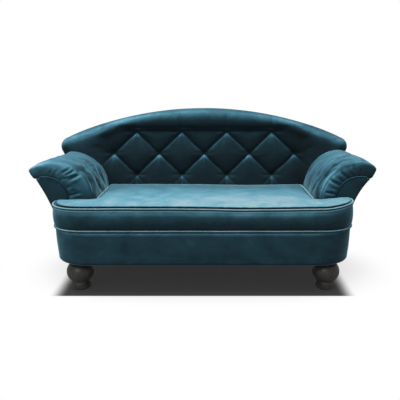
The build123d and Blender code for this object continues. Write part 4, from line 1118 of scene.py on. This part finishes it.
# Gathers on the front of the pad, from (radius, angle) to (radius, angle)
ARM_GATHERS = {
    1: [
        ((108, 38), (64, 46), 3.2, 4.4), ((102, 62), (72, 71), 3.6, 4.0), ((94, 16), (60, 19), 3.0, 3.8),
        ((90, 79), (75, 84), 3.0, 3.2), ((110, 86), (79, 92), 3.4, 2.4), ((84, 29), (63, 32), 2.6, 2.2),
        ((88, 53), (68, 57), 2.6, 2.2), ((82, 7), (60, 9), 2.6, 2.0), ((98, 99), (80, 102), 3.0, 2.0),
        ((86, 74), (73, 77), 2.4, 1.8), ((84, 62), (71, 65), 2.2, 1.6),
    ],
    -1: [
        ((92, 68), (114, 60), 3.0, 4.0), ((90, 60), (115, 53), 3.0, 4.4), ((80, 51), (118, 43), 3.8, 5.6),
        ((76, 60), (108, 48), 2.8, 3.2), ((52, 17), (88, 16), 3.8, 4.8), ((62, 27), (84, 22), 3.0, 3.4),
        ((83, 91), (96, 88), 2.8, 2.4), ((86, 80), (100, 77), 2.6, 2.0), ((60, 40), (74, 37), 3.0, 2.4),
        ((66, 8), (90, 5), 3.0, 3.0), ((68, 66), (80, 62), 2.4, 2.0),
    ],
}


def arm_slice(back, inset, side):
    """One ring of the arm's pad, back behind its front and inset from its full thickness."""
    inner = cord_curve(side) + (0.3, -0.3) if back < 9 else arm_curve(0.6)
    outer = arm_curve(PAD_THICK - inset)
    # The pad ends in a sharper nose at its tip than over the rest of its front.
    to_tip = (0.92 * ease((np.linspace(0, 1, len(outer)) - 0.72) / 0.26))[:, None]
    outer = outer + (arm_curve(PAD_THICK - 1) - outer) * to_tip * (1 if back > 2 else 0.5)
    nose = [
        outer[-1] + (inner[-1] - outer[-1]) * share + (0.5 * sin(pi * share), 0)
        for share in np.linspace(0, 1, 9)[1:-1]
    ]
    x, z = np.vstack((outer, nose, inner[::-1])).T
    return np.column_stack((x, arm_rear_y(z) if back == inf else np.full(len(x), arm_front_y + back), z))


def arm_pad(name, side):
    right = side > 0
    plan = [
        (0.8, 54), (2.2, 42), (4.5, 31), (8.9, 20.5), (9.6, 19.5), (14, 13), (19, 8), (26, 4), (38, 1.5),
        (70, 1.0), (140, 1.0), (inf, 1.0),
    ]
    piece = loft(name, [arm_slice(back, inset, side) for back, inset in plan])
    even_out(piece, 4.5)
    points = get_points(piece)
    x, y, z = points.T
    out, along = unroll(x, z)
    back = y - arm_front_y
    rear = arm_rear_y(z) - y
    tuft_gap = distance_to(np.column_stack((back, along)), np.array(ARM_TUFTS[side]))
    pull = 3.0 * bump(tuft_gap, 22) * ease((out - 36) / 14) * ease((back - 8) / 18)
    held = (out < 6) & (back > 9) | (rear < 4) | (z < deck_top + 5)
    held |= (x > TIP_X + 4) & (out > 12) | (back < 3) & (out < 2)
    still = held | (back < 24) | (rear < 14) | (x > TIP_X - 25)
    set_points(piece, points - read_vectors(piece, "normal") * pull[:, None])
    swell(piece, held, 6)
    relax(piece, 10, held=still)
    refine(piece)
    points = get_points(piece)
    x, y, z = points.T
    normals = read_vectors(piece, "normal")
    out, along = unroll(x, z)
    back = y - arm_front_y
    wob_a = along + blur_noise(along, back, 40, 40 + side) * 3
    wob_b = back + blur_noise(along, back, 40, 50 + side) * 3
    move = -1.6 * blur_noise(along, back, 95, 81 + side)
    for line, wide, deep in ARM_FOLDS[side]:
        move += fold_depth(wob_b, wob_a, line, wide * (1.5 if right else 2.1), deep * 1.2)
    for number, (b, a) in enumerate(ARM_TUFTS[side]):
        radius = np.hypot(wob_b - b, wob_a - a)
        angle = np.arctan2(wob_b - b, wob_a - a)
        move += 1.6 * bump(radius, 12)
        move += 0.5 * np.cos(4 * angle + number * 1.7) * np.exp(-radius / 20) * np.clip(radius / 12, 0, 1)
    move *= ease((out - 30) / 16) * ease((back - 2) / 16)
    # The front: its gathers, and the soft ridge at its edge with a crease behind it.
    across, high = BEND_X - x, z - BEND_Z
    front = ease((26 - back) / 12) * ease(np.hypot(across, high) / 8 - 5.5)
    for start, end, wide, deep in ARM_GATHERS[side]:
        line = [(r * cos(radians(a)), r * sin(radians(a))) for r, a in (start, end)]
        move += front * fold_depth(across, high, line, wide, deep)
    dome = np.degrees(np.arctan2(back, np.maximum(PAD_THICK - out, 0.1)))
    ridge = (1.5 * bump(dome - 30, 9) - 2.2 * bump(dome - 56, 8)) * (0.4 + 0.6 * ease((150 - along) / 60))
    move -= ridge * ease((PAD_THICK + 3 - np.abs(out - 40)) / 20) * (1 if right else 0.35)
    points -= normals * move[:, None]
    # The pads have sunk a little with use, more towards the back of the bed and on the left.
    round_way = np.clip(along / (PAD_RADIUS * pi / 2), 0, 1)
    sunk = (0 if right else 3) + (5 if right else 8) * ease((back - 20) / 220)
    sunk *= np.sin(round_way * pi / 2)
    crest = ease((along - 200) / 30) * ease((262 - along) / 24)
    sunk += (1 if right else 8) * crest * ease((back - 30) / 120)
    sunk += (0 if right else 5) * ease((along - 205) / 25) * ease((268 - along) / 20)
    if right:
        # The right pad has packed down on the seat's side and near its crest.
        near_seat = ease((BEND_X + 30 - x) / 110)
        x += WORN * ease((out - 8) / 40) * near_seat * ease((back + 4) / 14)
    z -= np.clip(out / PAD_THICK, 0, 1) * sunk
    nose = ease((x - TIP_X + 17) / 28)
    x += nose * (5 if right else 8)
    z -= nose * (0 if right else 2)
    y[:] = np.clip(y, arm_front_y + CLEAR, arm_rear_y(z))
    z[:] = np.maximum(z, deck_top + CLEAR)
    x[:] = side * np.maximum(x, arm_face_x - 0.6)
    set_points(piece, points)
    if not right:
        mend(piece)
    # Painted light on the pad: its front is painted lighter, the right one most low down, and each pad gets
    # its own painted lift and contrast.
    face = 0.25 - 0.16 * ease((along - 60) / 110) if right else 0.15
    lift, contrast = (-0.13, 0.9) if right else (-0.04, 0.65)
    paint_light(piece, lift, face * front, rounds=4, contrast=contrast, middle=0.6)
    return piece


flare_centre, flare_radius = bow_circle((BASE_SIDE + BASE_FLARE, deck_top), (TIP_X, TIP_Z), 12)


def flare_curve(side, inset=0.0):
    """The arm's flared outer side, from the deck to the tip, as (x, z). The left one is fuller."""
    ends = np.array(((BASE_SIDE + BASE_FLARE, deck_top), (TIP_X, TIP_Z))) - flare_centre
    first, last = (atan2(z, x) % (2 * pi) for x, z in ends)
    made = arc(flare_centre, flare_radius + inset, np.linspace(first, last, 20))
    full = FULLER * np.sin(pi * np.linspace(0, 1, 20)) ** 0.7
    return made + (full[:, None] * (0.86, -0.5) if side < 0 else 0)


def arm_facing(name, side):
    """The plain covered board in the arm's front, a little behind the pad."""

    def place(u, v, height):
        return (side * u, arm_front_y + 9.5 - height, v)

    loop = between(cord_curve(side), flare_curve(side, 0.2), 4)
    return panel(name, loop, 5, place, 6.4, velvet_cloth, puff=1.4, puff_run=12, edge=1.6, wave=0.3, seed=12)


def arm_side(name, side):
    """The cover of the arm's outer side and of the base below it, in one piece."""
    flare = flare_curve(side)
    past = flare[-1] + (flare[-1] - flare[-2]) * 0.55
    foot = (BASE_SIDE, base_bottom), (BASE_SIDE + BASE_FLARE, deck_top)
    curve = resample(np.vstack((*foot, flare[1:], past)), 3)
    section, whole = along_line(curve)
    deck_way = np.interp(deck_top, curve[:, 1], way_along(curve))

    def place(u, v, height):
        (x, z), run = section(v)
        out = height - SIDE_THICK
        return (side * (x + run[1] * out), u, z - run[0] * out)

    front, rear, end = arm_front_y + CLEAR, base_rear_y, whole - 0.2
    back_edge = [(arm_rear_y(section(v)[0][1]), v) for v in np.linspace(deck_way, end, 30)]
    border = [
        (front, 0), (rear, 0), (rear, deck_way), back_edge[0], back_edge[-1],
        (front + 10, end), (front + 10, deck_way), (front, deck_way), (front, 0),
    ]
    lines = list(zip(border, border[1:]))
    lines[3] = back_edge
    outer = panel(
        "side", close_loop(lines, 6), 8, place, SIDE_THICK, velvet_cloth,
        puff=0.8, edge=0.8, wave=0.5, seed=13 + side,
    )
    return join(name, [outer, arm_rear_cover(side), base_shoulder(side)])


def arm_rear_cover(side):
    """The end of the arm's cover, turned in between the arm and the back."""

    def place(u, v, height):
        return (side * u, arm_rear_y(v) + 0.6 - height, v)

    loop = between(arm_curve(4), flare_curve(side), 8)
    return panel("return", loop, 14, place, 0.8, velvet_cloth, edge=0.3)


def base_shoulder(side):
    """The cover's turn-in on the base's top, behind the arm."""
    near, far, inner = arm_rear_y(deck_top) - 20, base_rear_y - 0.5, 380
    outer = BASE_SIDE + BASE_FLARE - 0.5

    def place(u, v, height):
        return (side * u, v, deck_top + 0.02 + height)

    loop = rounded([(inner, near, 1), (outer, near, 1), (outer, far, 1), (inner, far, 1)], 8)
    return panel("shoulder", loop, 12, place, 0.35, velvet_cloth, edge=0.2)


def arm_core(name, side):
    """The arm's foam, packed down with its pad and a little short of the pad's rear end."""
    source = nodes[name]
    points = np.array([tuple(source.matrix_world @ v.co) for v in source.data.vertices]) / MM
    x, y, z = points.T
    x *= side
    share = np.clip(unroll(x, z)[0] / PAD_THICK, 0, 1) ** 2
    apart = np.column_stack((x - BEND_X, z - BEND_Z))
    way = apart / np.maximum(np.linalg.norm(apart, axis=1), 1)[:, None]
    way[z < BEND_Z] = (-1, 0)
    x -= way[:, 0] * share * 4
    z -= way[:, 1] * share * (4 + (4 if side > 0 else 14) * ease((y - arm_front_y - 20) / 220))
    x -= 9 * share * ease((x - TIP_X + 20) / 20)
    y[:] = np.minimum(y, arm_rear_y(z) - 5)
    z[:] = np.maximum(z, deck_top + 0.5)
    x *= side
    faces = [tuple(f.vertices) for f in source.data.polygons]
    return make_piece(f"{name}_packed", points, faces, cushion_foam)


# Base


def base_front():
    """The cover of the base's front, round both corners, and wider at its top."""
    centre_x, centre_y = BASE_SIDE - BASE_RADIUS, base_front_y + BASE_RADIUS
    half = arc((centre_x, centre_y), BASE_RADIUS, np.linspace(0, -pi / 2, 24))
    half = np.vstack(((BASE_SIDE, arm_front_y), half))
    at, whole = along_line(resample(np.vstack((half, half[::-1] * (-1, 1))), 4))

    def place(u, v, height):
        (x, y), run = at(u)
        out = height - BASE_THICK + BASE_FLARE * (v - base_bottom) / (deck_top - base_bottom)
        return (x - run[1] * out, y + run[0] * out, v)

    loop = close_corners([(0, base_bottom), (whole, base_bottom), (whole, deck_top), (0, deck_top)], 6)
    return panel(
        "base_front_velvet", loop, 7, place, BASE_THICK, velvet_cloth,
        puff=1.2, puff_run=22, edge=2.4, wave=0.7, seed=17,
    )


def base_rear():
    half = BASE_SIDE - SIDE_THICK - 0.1
    ends = [(half, base_bottom, 1), (half + BASE_FLARE, deck_top, 1)]
    loop = rounded([(-x, z, radius) for x, z, radius in ends[:1]] + ends + [(-ends[1][0], *ends[1][1:])], 8)

    def place(u, v, height):
        return (u, base_rear_y - BASE_THICK + height, v)

    return panel(
        "base_rear_velvet", loop, 10, place, BASE_THICK, velvet_cloth, puff=0.6, edge=1.8, wave=0.3, seed=18,
    )


def back_rear():
    """The cover of the back's rear, from the deck to just under the roll."""

    def place(u, v, height):
        return from_back(u, v, BASE_THICK - height)

    loop = back_outline(4.5, 8, 0.6 / cos(LEAN))
    return panel(
        "back_rear_velvet", close_loop([loop, (loop[-1], loop[0])], 8), 10, place, BASE_THICK, velvet_cloth,
        puff=0.3, puff_run=40, edge=1.8, wave=0.25, seed=19,
    )


# Cloth under the seat and the base


def base_plan(inset, step):
    side, front, rear = BASE_SIDE - inset, base_front_y + inset, base_rear_y - inset
    radius = BASE_RADIUS - inset
    return rounded([(side, front, radius), (side, rear, 2), (-side, rear, 2), (-side, front, radius)], step)


def under_cloth(plan):
    """The cloth that closes the base from below, with a hole round each foot."""
    feet = [corners(f"{place}_foot") for place in ("front_left", "front_right", "rear_left", "rear_right")]
    turns = np.linspace(0, 2 * pi, 28, endpoint=False)
    holes = [arc((low[:2] + high[:2]) / 2, FOOT_HOLE, turns) for low, high in feet]

    def place(u, v, height):
        return (u, v, base_bottom + 1.1 - height)

    return panel(
        "dust_cloth", plan, 16, place, 0.5, fleece_cloth,
        puff=0.5, puff_run=60, edge=0.2, holes=holes, wave=0.15, seed=20,
    )


def lining_plan():
    """Outline of the lining: it reaches the arms, the back and the inside of the base's cover."""
    seat_line, base = seat_outline(-2.5, 8, WORN), base_plan(-0.5, 8)
    points = [p for p in seat_line if inside(p, base)] + [p for p in base if inside(p, seat_line)]
    points = np.array(points)
    # Seen from this middle, the points of both lines come in their order round the T.
    apart = points - (0.0, SEAT_EAR_Y - 40)
    return points[np.argsort(np.arctan2(apart[:, 1], apart[:, 0]))]


def deck_sheet(plan):
    """The lining on the deck, under the cushion."""

    def place(u, v, height):
        return (u, v, deck_top + 0.1 + height)

    return panel(
        "deck_lining", plan, 16, place, 0.5, lining_cloth, puff=0.3, puff_run=60, edge=0.2, wave=0.1, seed=21,
    )


def staples():
    """Staples that hold the cloth under the base, along its edge."""
    half = [(0, 5, 0.9), (0, 5, 0.1), (0, 4.6, -0.15)]
    path = [(x, -y, z) for x, y, z in half] + [(0, 0, -0.2)] + half[::-1]
    staple = bent_wire("staple", path, 0.4, (3, 1, 2))
    edge = at_level(base_plan(13, 6), base_bottom - 0.1)
    return row_of("dust_cloth_staples", edge, staple, 42, zinc_plate, closed=True)


# Zip


def zip_row(name, wire, inset, off, spacing, finish, level):
    """A row of stitches or coil turns along the tape."""
    path = [(x, level, zip_level + off) for x in (zip_low[0] + inset, zip_high[0] - inset)]
    return row_of(name, path, wire, spacing, finish)


def zip_parts():
    """The two halves of the tape, their seams, and the coil that is sewn along their middle."""
    tapes, seams, coils = [], [], []
    stitch = [(n * 0.5 - 0.9, 0, 0.16 + 0.12 * sin(pi * n / 4)) for n in range(5)]
    turns = np.linspace(0, 2 * pi, 9)

    def place(u, v, height):
        return (u, zip_low[1] + height, v)

    for side in (-1, 1):
        low, high = sorted((zip_level + side * 0.5, zip_level + side * (0.5 + TAPE_HALF)))
        ends = (zip_low[0], low), (zip_high[0], low), (zip_high[0], high), (zip_low[0], high)
        loop = rounded([(*end, 0.5) for end in ends], 4)
        tapes.append(panel("tape", loop, 4, place, 0.7, tape_cloth, edge=0.2))
        for off in (3.4, 11.4):
            wire = bent_wire("stitch", stitch, 0.16, (3, 2, 1))
            seams.append(zip_row("seam", wire, 2, side * off, 2.9, thread_cloth, zip_low[1] + 0.75))
        turn = [(n * 0.16, 0.75 + 0.62 * sin(a), side * (1.1 + cos(a))) for n, a in enumerate(turns)]
        wire = bent_wire("coil_turn", turn, 0.34, (-3, 2, 1))
        coils.append(zip_row("coil", wire, 1, side * 0.5, 1.9, coil_nylon, zip_high[1] + 0.05))
    return join("zip_tape_woven", tapes), join("zip_seams", seams), join("zip_coil_moulded", coils)


# Everything in place


def flat_size(loop):
    """Width and length of an outline in metres, and its area in square metres."""
    u, v = loop.T * MM
    return (np.ptp(u), np.ptp(v)), abs(u @ np.roll(v, -1) - v @ np.roll(u, -1)) / 2


def put(piece, body, slot, *stands_for, fill=None, lift=0.0):
    # A velvet piece without painted light gets it here, painted lighter or darker by lift.
    if slot and slot.startswith("velvet") and "nap" not in piece.data.attributes:
        paint_light(piece, lift)
    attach(piece, body)
    if stands_for:
        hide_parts(*stands_for)


def seat_cord(label):
    """The piping of the cushion's top or bottom seam, which wanders a little."""
    top = label == "top"
    flat = seat_outline(3.0 if top else 2.2, 5, WORN)
    x, y = flat.T
    z = (SEAT_SEAM if top else seat_bottom + 3.8) + blur_noise(x, y, 150, 3 if top else 4) * 0.25
    if top:
        z += seat_wander(x) - 1 - 1.4 * ease((y - 60) / 50)
    else:
        x = x - np.sign(x) * 3.0 * ease((np.abs(x) - 412) / 25)
    path = np.column_stack((x, y, z))
    return sweep_cord(f"seat_{label}_cord", path, 3.5, velvet_cord, closed=True, twist=0.02)


def arm_cord(name, side):
    """The piping between an arm's pad and its facing."""
    line = resample(cord_curve(side), 4)[:-3]
    path = np.column_stack((side * line[:, 0], np.full(len(line), arm_front_y + 2), line[:, 1]))
    return sweep_cord(name, path, 3.0, velvet_cord, twist=0.03)


seat = seat_cushion()
put(seat, "cushion", "velvet", "cushion_cover", fill=0.75)
# The seat's cords are painted a little lighter.
for label in ("top", "bottom"):
    put(seat_cord(label), "cushion", "velvet_piping", f"cushion_{label}_piping", lift=0.05)

put(back_pad(), "frame", "velvet", "back_cover", fill=0.8)
put(back_rear(), "frame", "velvet", "back_outer_panel", fill=0.95)
# Each arm's facing and cord get their own painted light, the two arms by different amounts.
for side, label, facing_painted_light, cord_painted_light in ((1, "right", 0.02, -0.16), (-1, "left", 0.06, -0.10)):
    put(arm_pad(f"arm_pad_{label}", side), "frame", "velvet", f"arm_cover_{label}", fill=0.7)
    facing = arm_facing(f"arm_front_{label}", side)
    put(facing, "frame", "velvet", f"arm_facing_{label}", fill=0.9, lift=facing_painted_light)
    put(arm_side(f"arm_side_{label}", side), "frame", "velvet", f"arm_outer_panel_{label}", fill=0.95)
    put(arm_core(f"arm_foam_{label}", side), "frame", "foam", f"arm_foam_{label}", fill=0.9)
    cord = arm_cord(f"arm_cord_{label}", side)
    put(cord, "frame", "velvet_piping", f"arm_piping_{label}", lift=cord_painted_light)
# The base's front is painted lighter.
put(base_front(), "frame", "velvet", "base_front_cover", fill=0.95, lift=0.09)
put(base_rear(), "frame", "velvet", "base_rear_cover", fill=0.95)

plan = base_plan(6.5, 9)
under = under_cloth(plan)
put(under, "frame", "dust_cover", "dust_cover")
size, area = flat_size(plan)
area -= 4 * pi * (FOOT_HOLE * MM) ** 2
plan = lining_plan()
lining = deck_sheet(plan)
put(lining, "frame", "deck_cloth", "deck_cloth")
size, area = flat_size(plan)
put(staples(), "frame", "zinc_steel")
tape, seam, coil = zip_parts()
put(tape, "cushion", "zip_tape", "zip_tape")
put(seam, "cushion", None)
put(coil, "cushion", "zip_coil", "zip_teeth")

finish_of_slot = {
    "turned_wood": stained_beech, "softwood": sawn_pine, "plywood": birch_ply, "zinc_steel": zinc_plate,
    "felt": felt_pad, "deck_cloth": lining_cloth, "dust_cover": fleece_cloth, "twine": waxed_twine,
    "zip_tape": tape_cloth, "zip_coil": coil_nylon, "zip_metal": nickel_plate, "foam": cushion_foam,
    "velvet": velvet_cloth, "velvet_piping": velvet_cord,
}
for part in frame["record"]["subparts"]:
    node = nodes[part["node"]]
    node.data.materials.clear()
    node.data.materials.append(finish_of_slot[part["material_slot"]])


# Floor, light and camera. The painted shadow, the fade, the lamps' sizes and the camera's place are in
# metres.

SHADOW_EDGES = (("X", -0.456, -0.400), ("X", 0.456, 0.400), ("Y", -0.262, -0.254), ("Y", 0.260, 0.200))
FLOOR_HALF = 9000


def studio_floor():
    """A plain white floor: it keeps the sofa's shadow, adds a flat painted shadow under the sofa,
    and fades to the white of the backdrop.
    """
    finish, tree, shader = new_finish("studio_floor", "ShaderNodeMixShader")
    seen = add_node(tree, "ShaderNodeLightPath", gives="Is Camera Ray")
    where = add_node(tree, "ShaderNodeTexCoord", gives="Object")
    axes = add_node(tree, "ShaderNodeSeparateXYZ", {"Vector": where}).node.outputs
    under = 1.0
    for axis, start, end in SHADOW_EDGES:
        edge = {"Value": axes[axis], "From Min": start, "From Max": end}
        edge = add_node(tree, "ShaderNodeMapRange", edge, interpolation_type="SMOOTHSTEP")
        under = add_node(tree, "ShaderNodeMath", {0: under, 1: edge}, operation="MULTIPLY")
    # Painted shadow: the floor's colour is a darker grey under the sofa.
    tint = {0: under, 6: linear("ffffff"), 7: linear("8c8c8c")}
    tint = add_node(tree, "ShaderNodeMix", tint, gives=2, data_type="RGBA")
    tint = {0: seen, 6: linear("a8a8a8"), 7: tint}
    tint = add_node(tree, "ShaderNodeMix", tint, gives=2, data_type="RGBA")
    # Away from the sofa the floor is as white as the backdrop.
    gap = add_node(tree, "ShaderNodeVectorMath", {0: where, 1: (0.62, 1.0, 1.0)}, operation="MULTIPLY")
    gap = add_node(tree, "ShaderNodeVectorMath", {0: gap}, gives="Value", operation="LENGTH")
    far = {"Value": gap, "From Min": 0.27, "From Max": 0.42}
    far = add_node(tree, "ShaderNodeMapRange", far, interpolation_type="SMOOTHSTEP")
    far = add_node(tree, "ShaderNodeMapRange", {"Value": far, "To Min": 0.7, "To Max": 1.0})
    clear = add_node(tree, "ShaderNodeMath", {0: 1.0, 1: under}, operation="SUBTRACT")
    clear = add_node(tree, "ShaderNodeMath", {0: far, 1: clear}, operation="MULTIPLY")
    clear = add_node(tree, "ShaderNodeMath", {0: clear, 1: seen}, operation="MULTIPLY")
    plain = add_node(tree, "ShaderNodeBsdfDiffuse", {"Color": tint})
    blank = add_node(tree, "ShaderNodeEmission", {"Color": linear("ffffff"), "Strength": 1.0})
    plain = add_node(tree, "ShaderNodeMixShader", {0: clear, 1: plain, 2: blank})
    # Painted shadow: under the bed the camera sees mostly a flat dark grey, one tone to its edges.
    dark = add_node(tree, "ShaderNodeEmission", {"Color": linear("323232"), "Strength": 1.0})
    flat = add_node(tree, "ShaderNodeMath", {0: under, 1: 0.85}, operation="MULTIPLY")
    flat = add_node(tree, "ShaderNodeMath", {0: flat, 1: seen}, operation="MULTIPLY")
    give(shader, {0: flat, 1: plain, 2: dark})
    ends = [(x * FLOOR_HALF, y * FLOOR_HALF, 0) for x, y in ((-1, -1), (1, -1), (1, 1), (-1, 1))]
    make_piece("floor", ends, [(0, 1, 2, 3)], finish)


def studio_sky():
    """Plain light from all round, and white behind the sofa."""
    world = bpy.data.worlds.new("studio")
    scene.world = world
    world.use_nodes = True
    tree = world.node_tree
    tree.nodes.clear()
    seen = add_node(tree, "ShaderNodeLightPath", gives="Is Camera Ray")
    strength = add_node(tree, "ShaderNodeMapRange", {"Value": seen, "To Min": 0.42, "To Max": 1.0})
    sky = add_node(tree, "ShaderNodeBackground", {"Color": linear("ffffff"), "Strength": strength})
    add_node(tree, "ShaderNodeOutputWorld", {"Surface": sky})


def soft_lamp(name, place, aim, size, power):
    lamp = bpy.data.lights.new(name, "AREA")
    lamp.shape = "RECTANGLE"
    lamp.size, lamp.size_y = size
    lamp.energy = power
    made = add_object(name, lamp)
    made.location = Vector(place) * MM
    made.rotation_euler = (Vector(aim) - Vector(place)).to_track_quat("-Z", "Y").to_euler()


studio_floor()
studio_sky()
soft_lamp("top_light", (-250, -150, 2300), (0, 0, 200), (2.2, 1.6), 52)
soft_lamp("front_light", (-900, -2600, 1500), (0, 0, 250), (1.8, 1.8), 16)

camera = bpy.data.cameras.new("camera")
camera.sensor_width = 36
camera.lens = 50.5
camera.shift_x = -0.0283
viewer = add_object("camera", camera)
viewer.location = (0.025, -1.810, 0.620)
viewer.rotation_euler = (radians(90 - 12.07), 0, 0)
scene.camera = viewer

scene.view_settings.view_transform = "Standard"
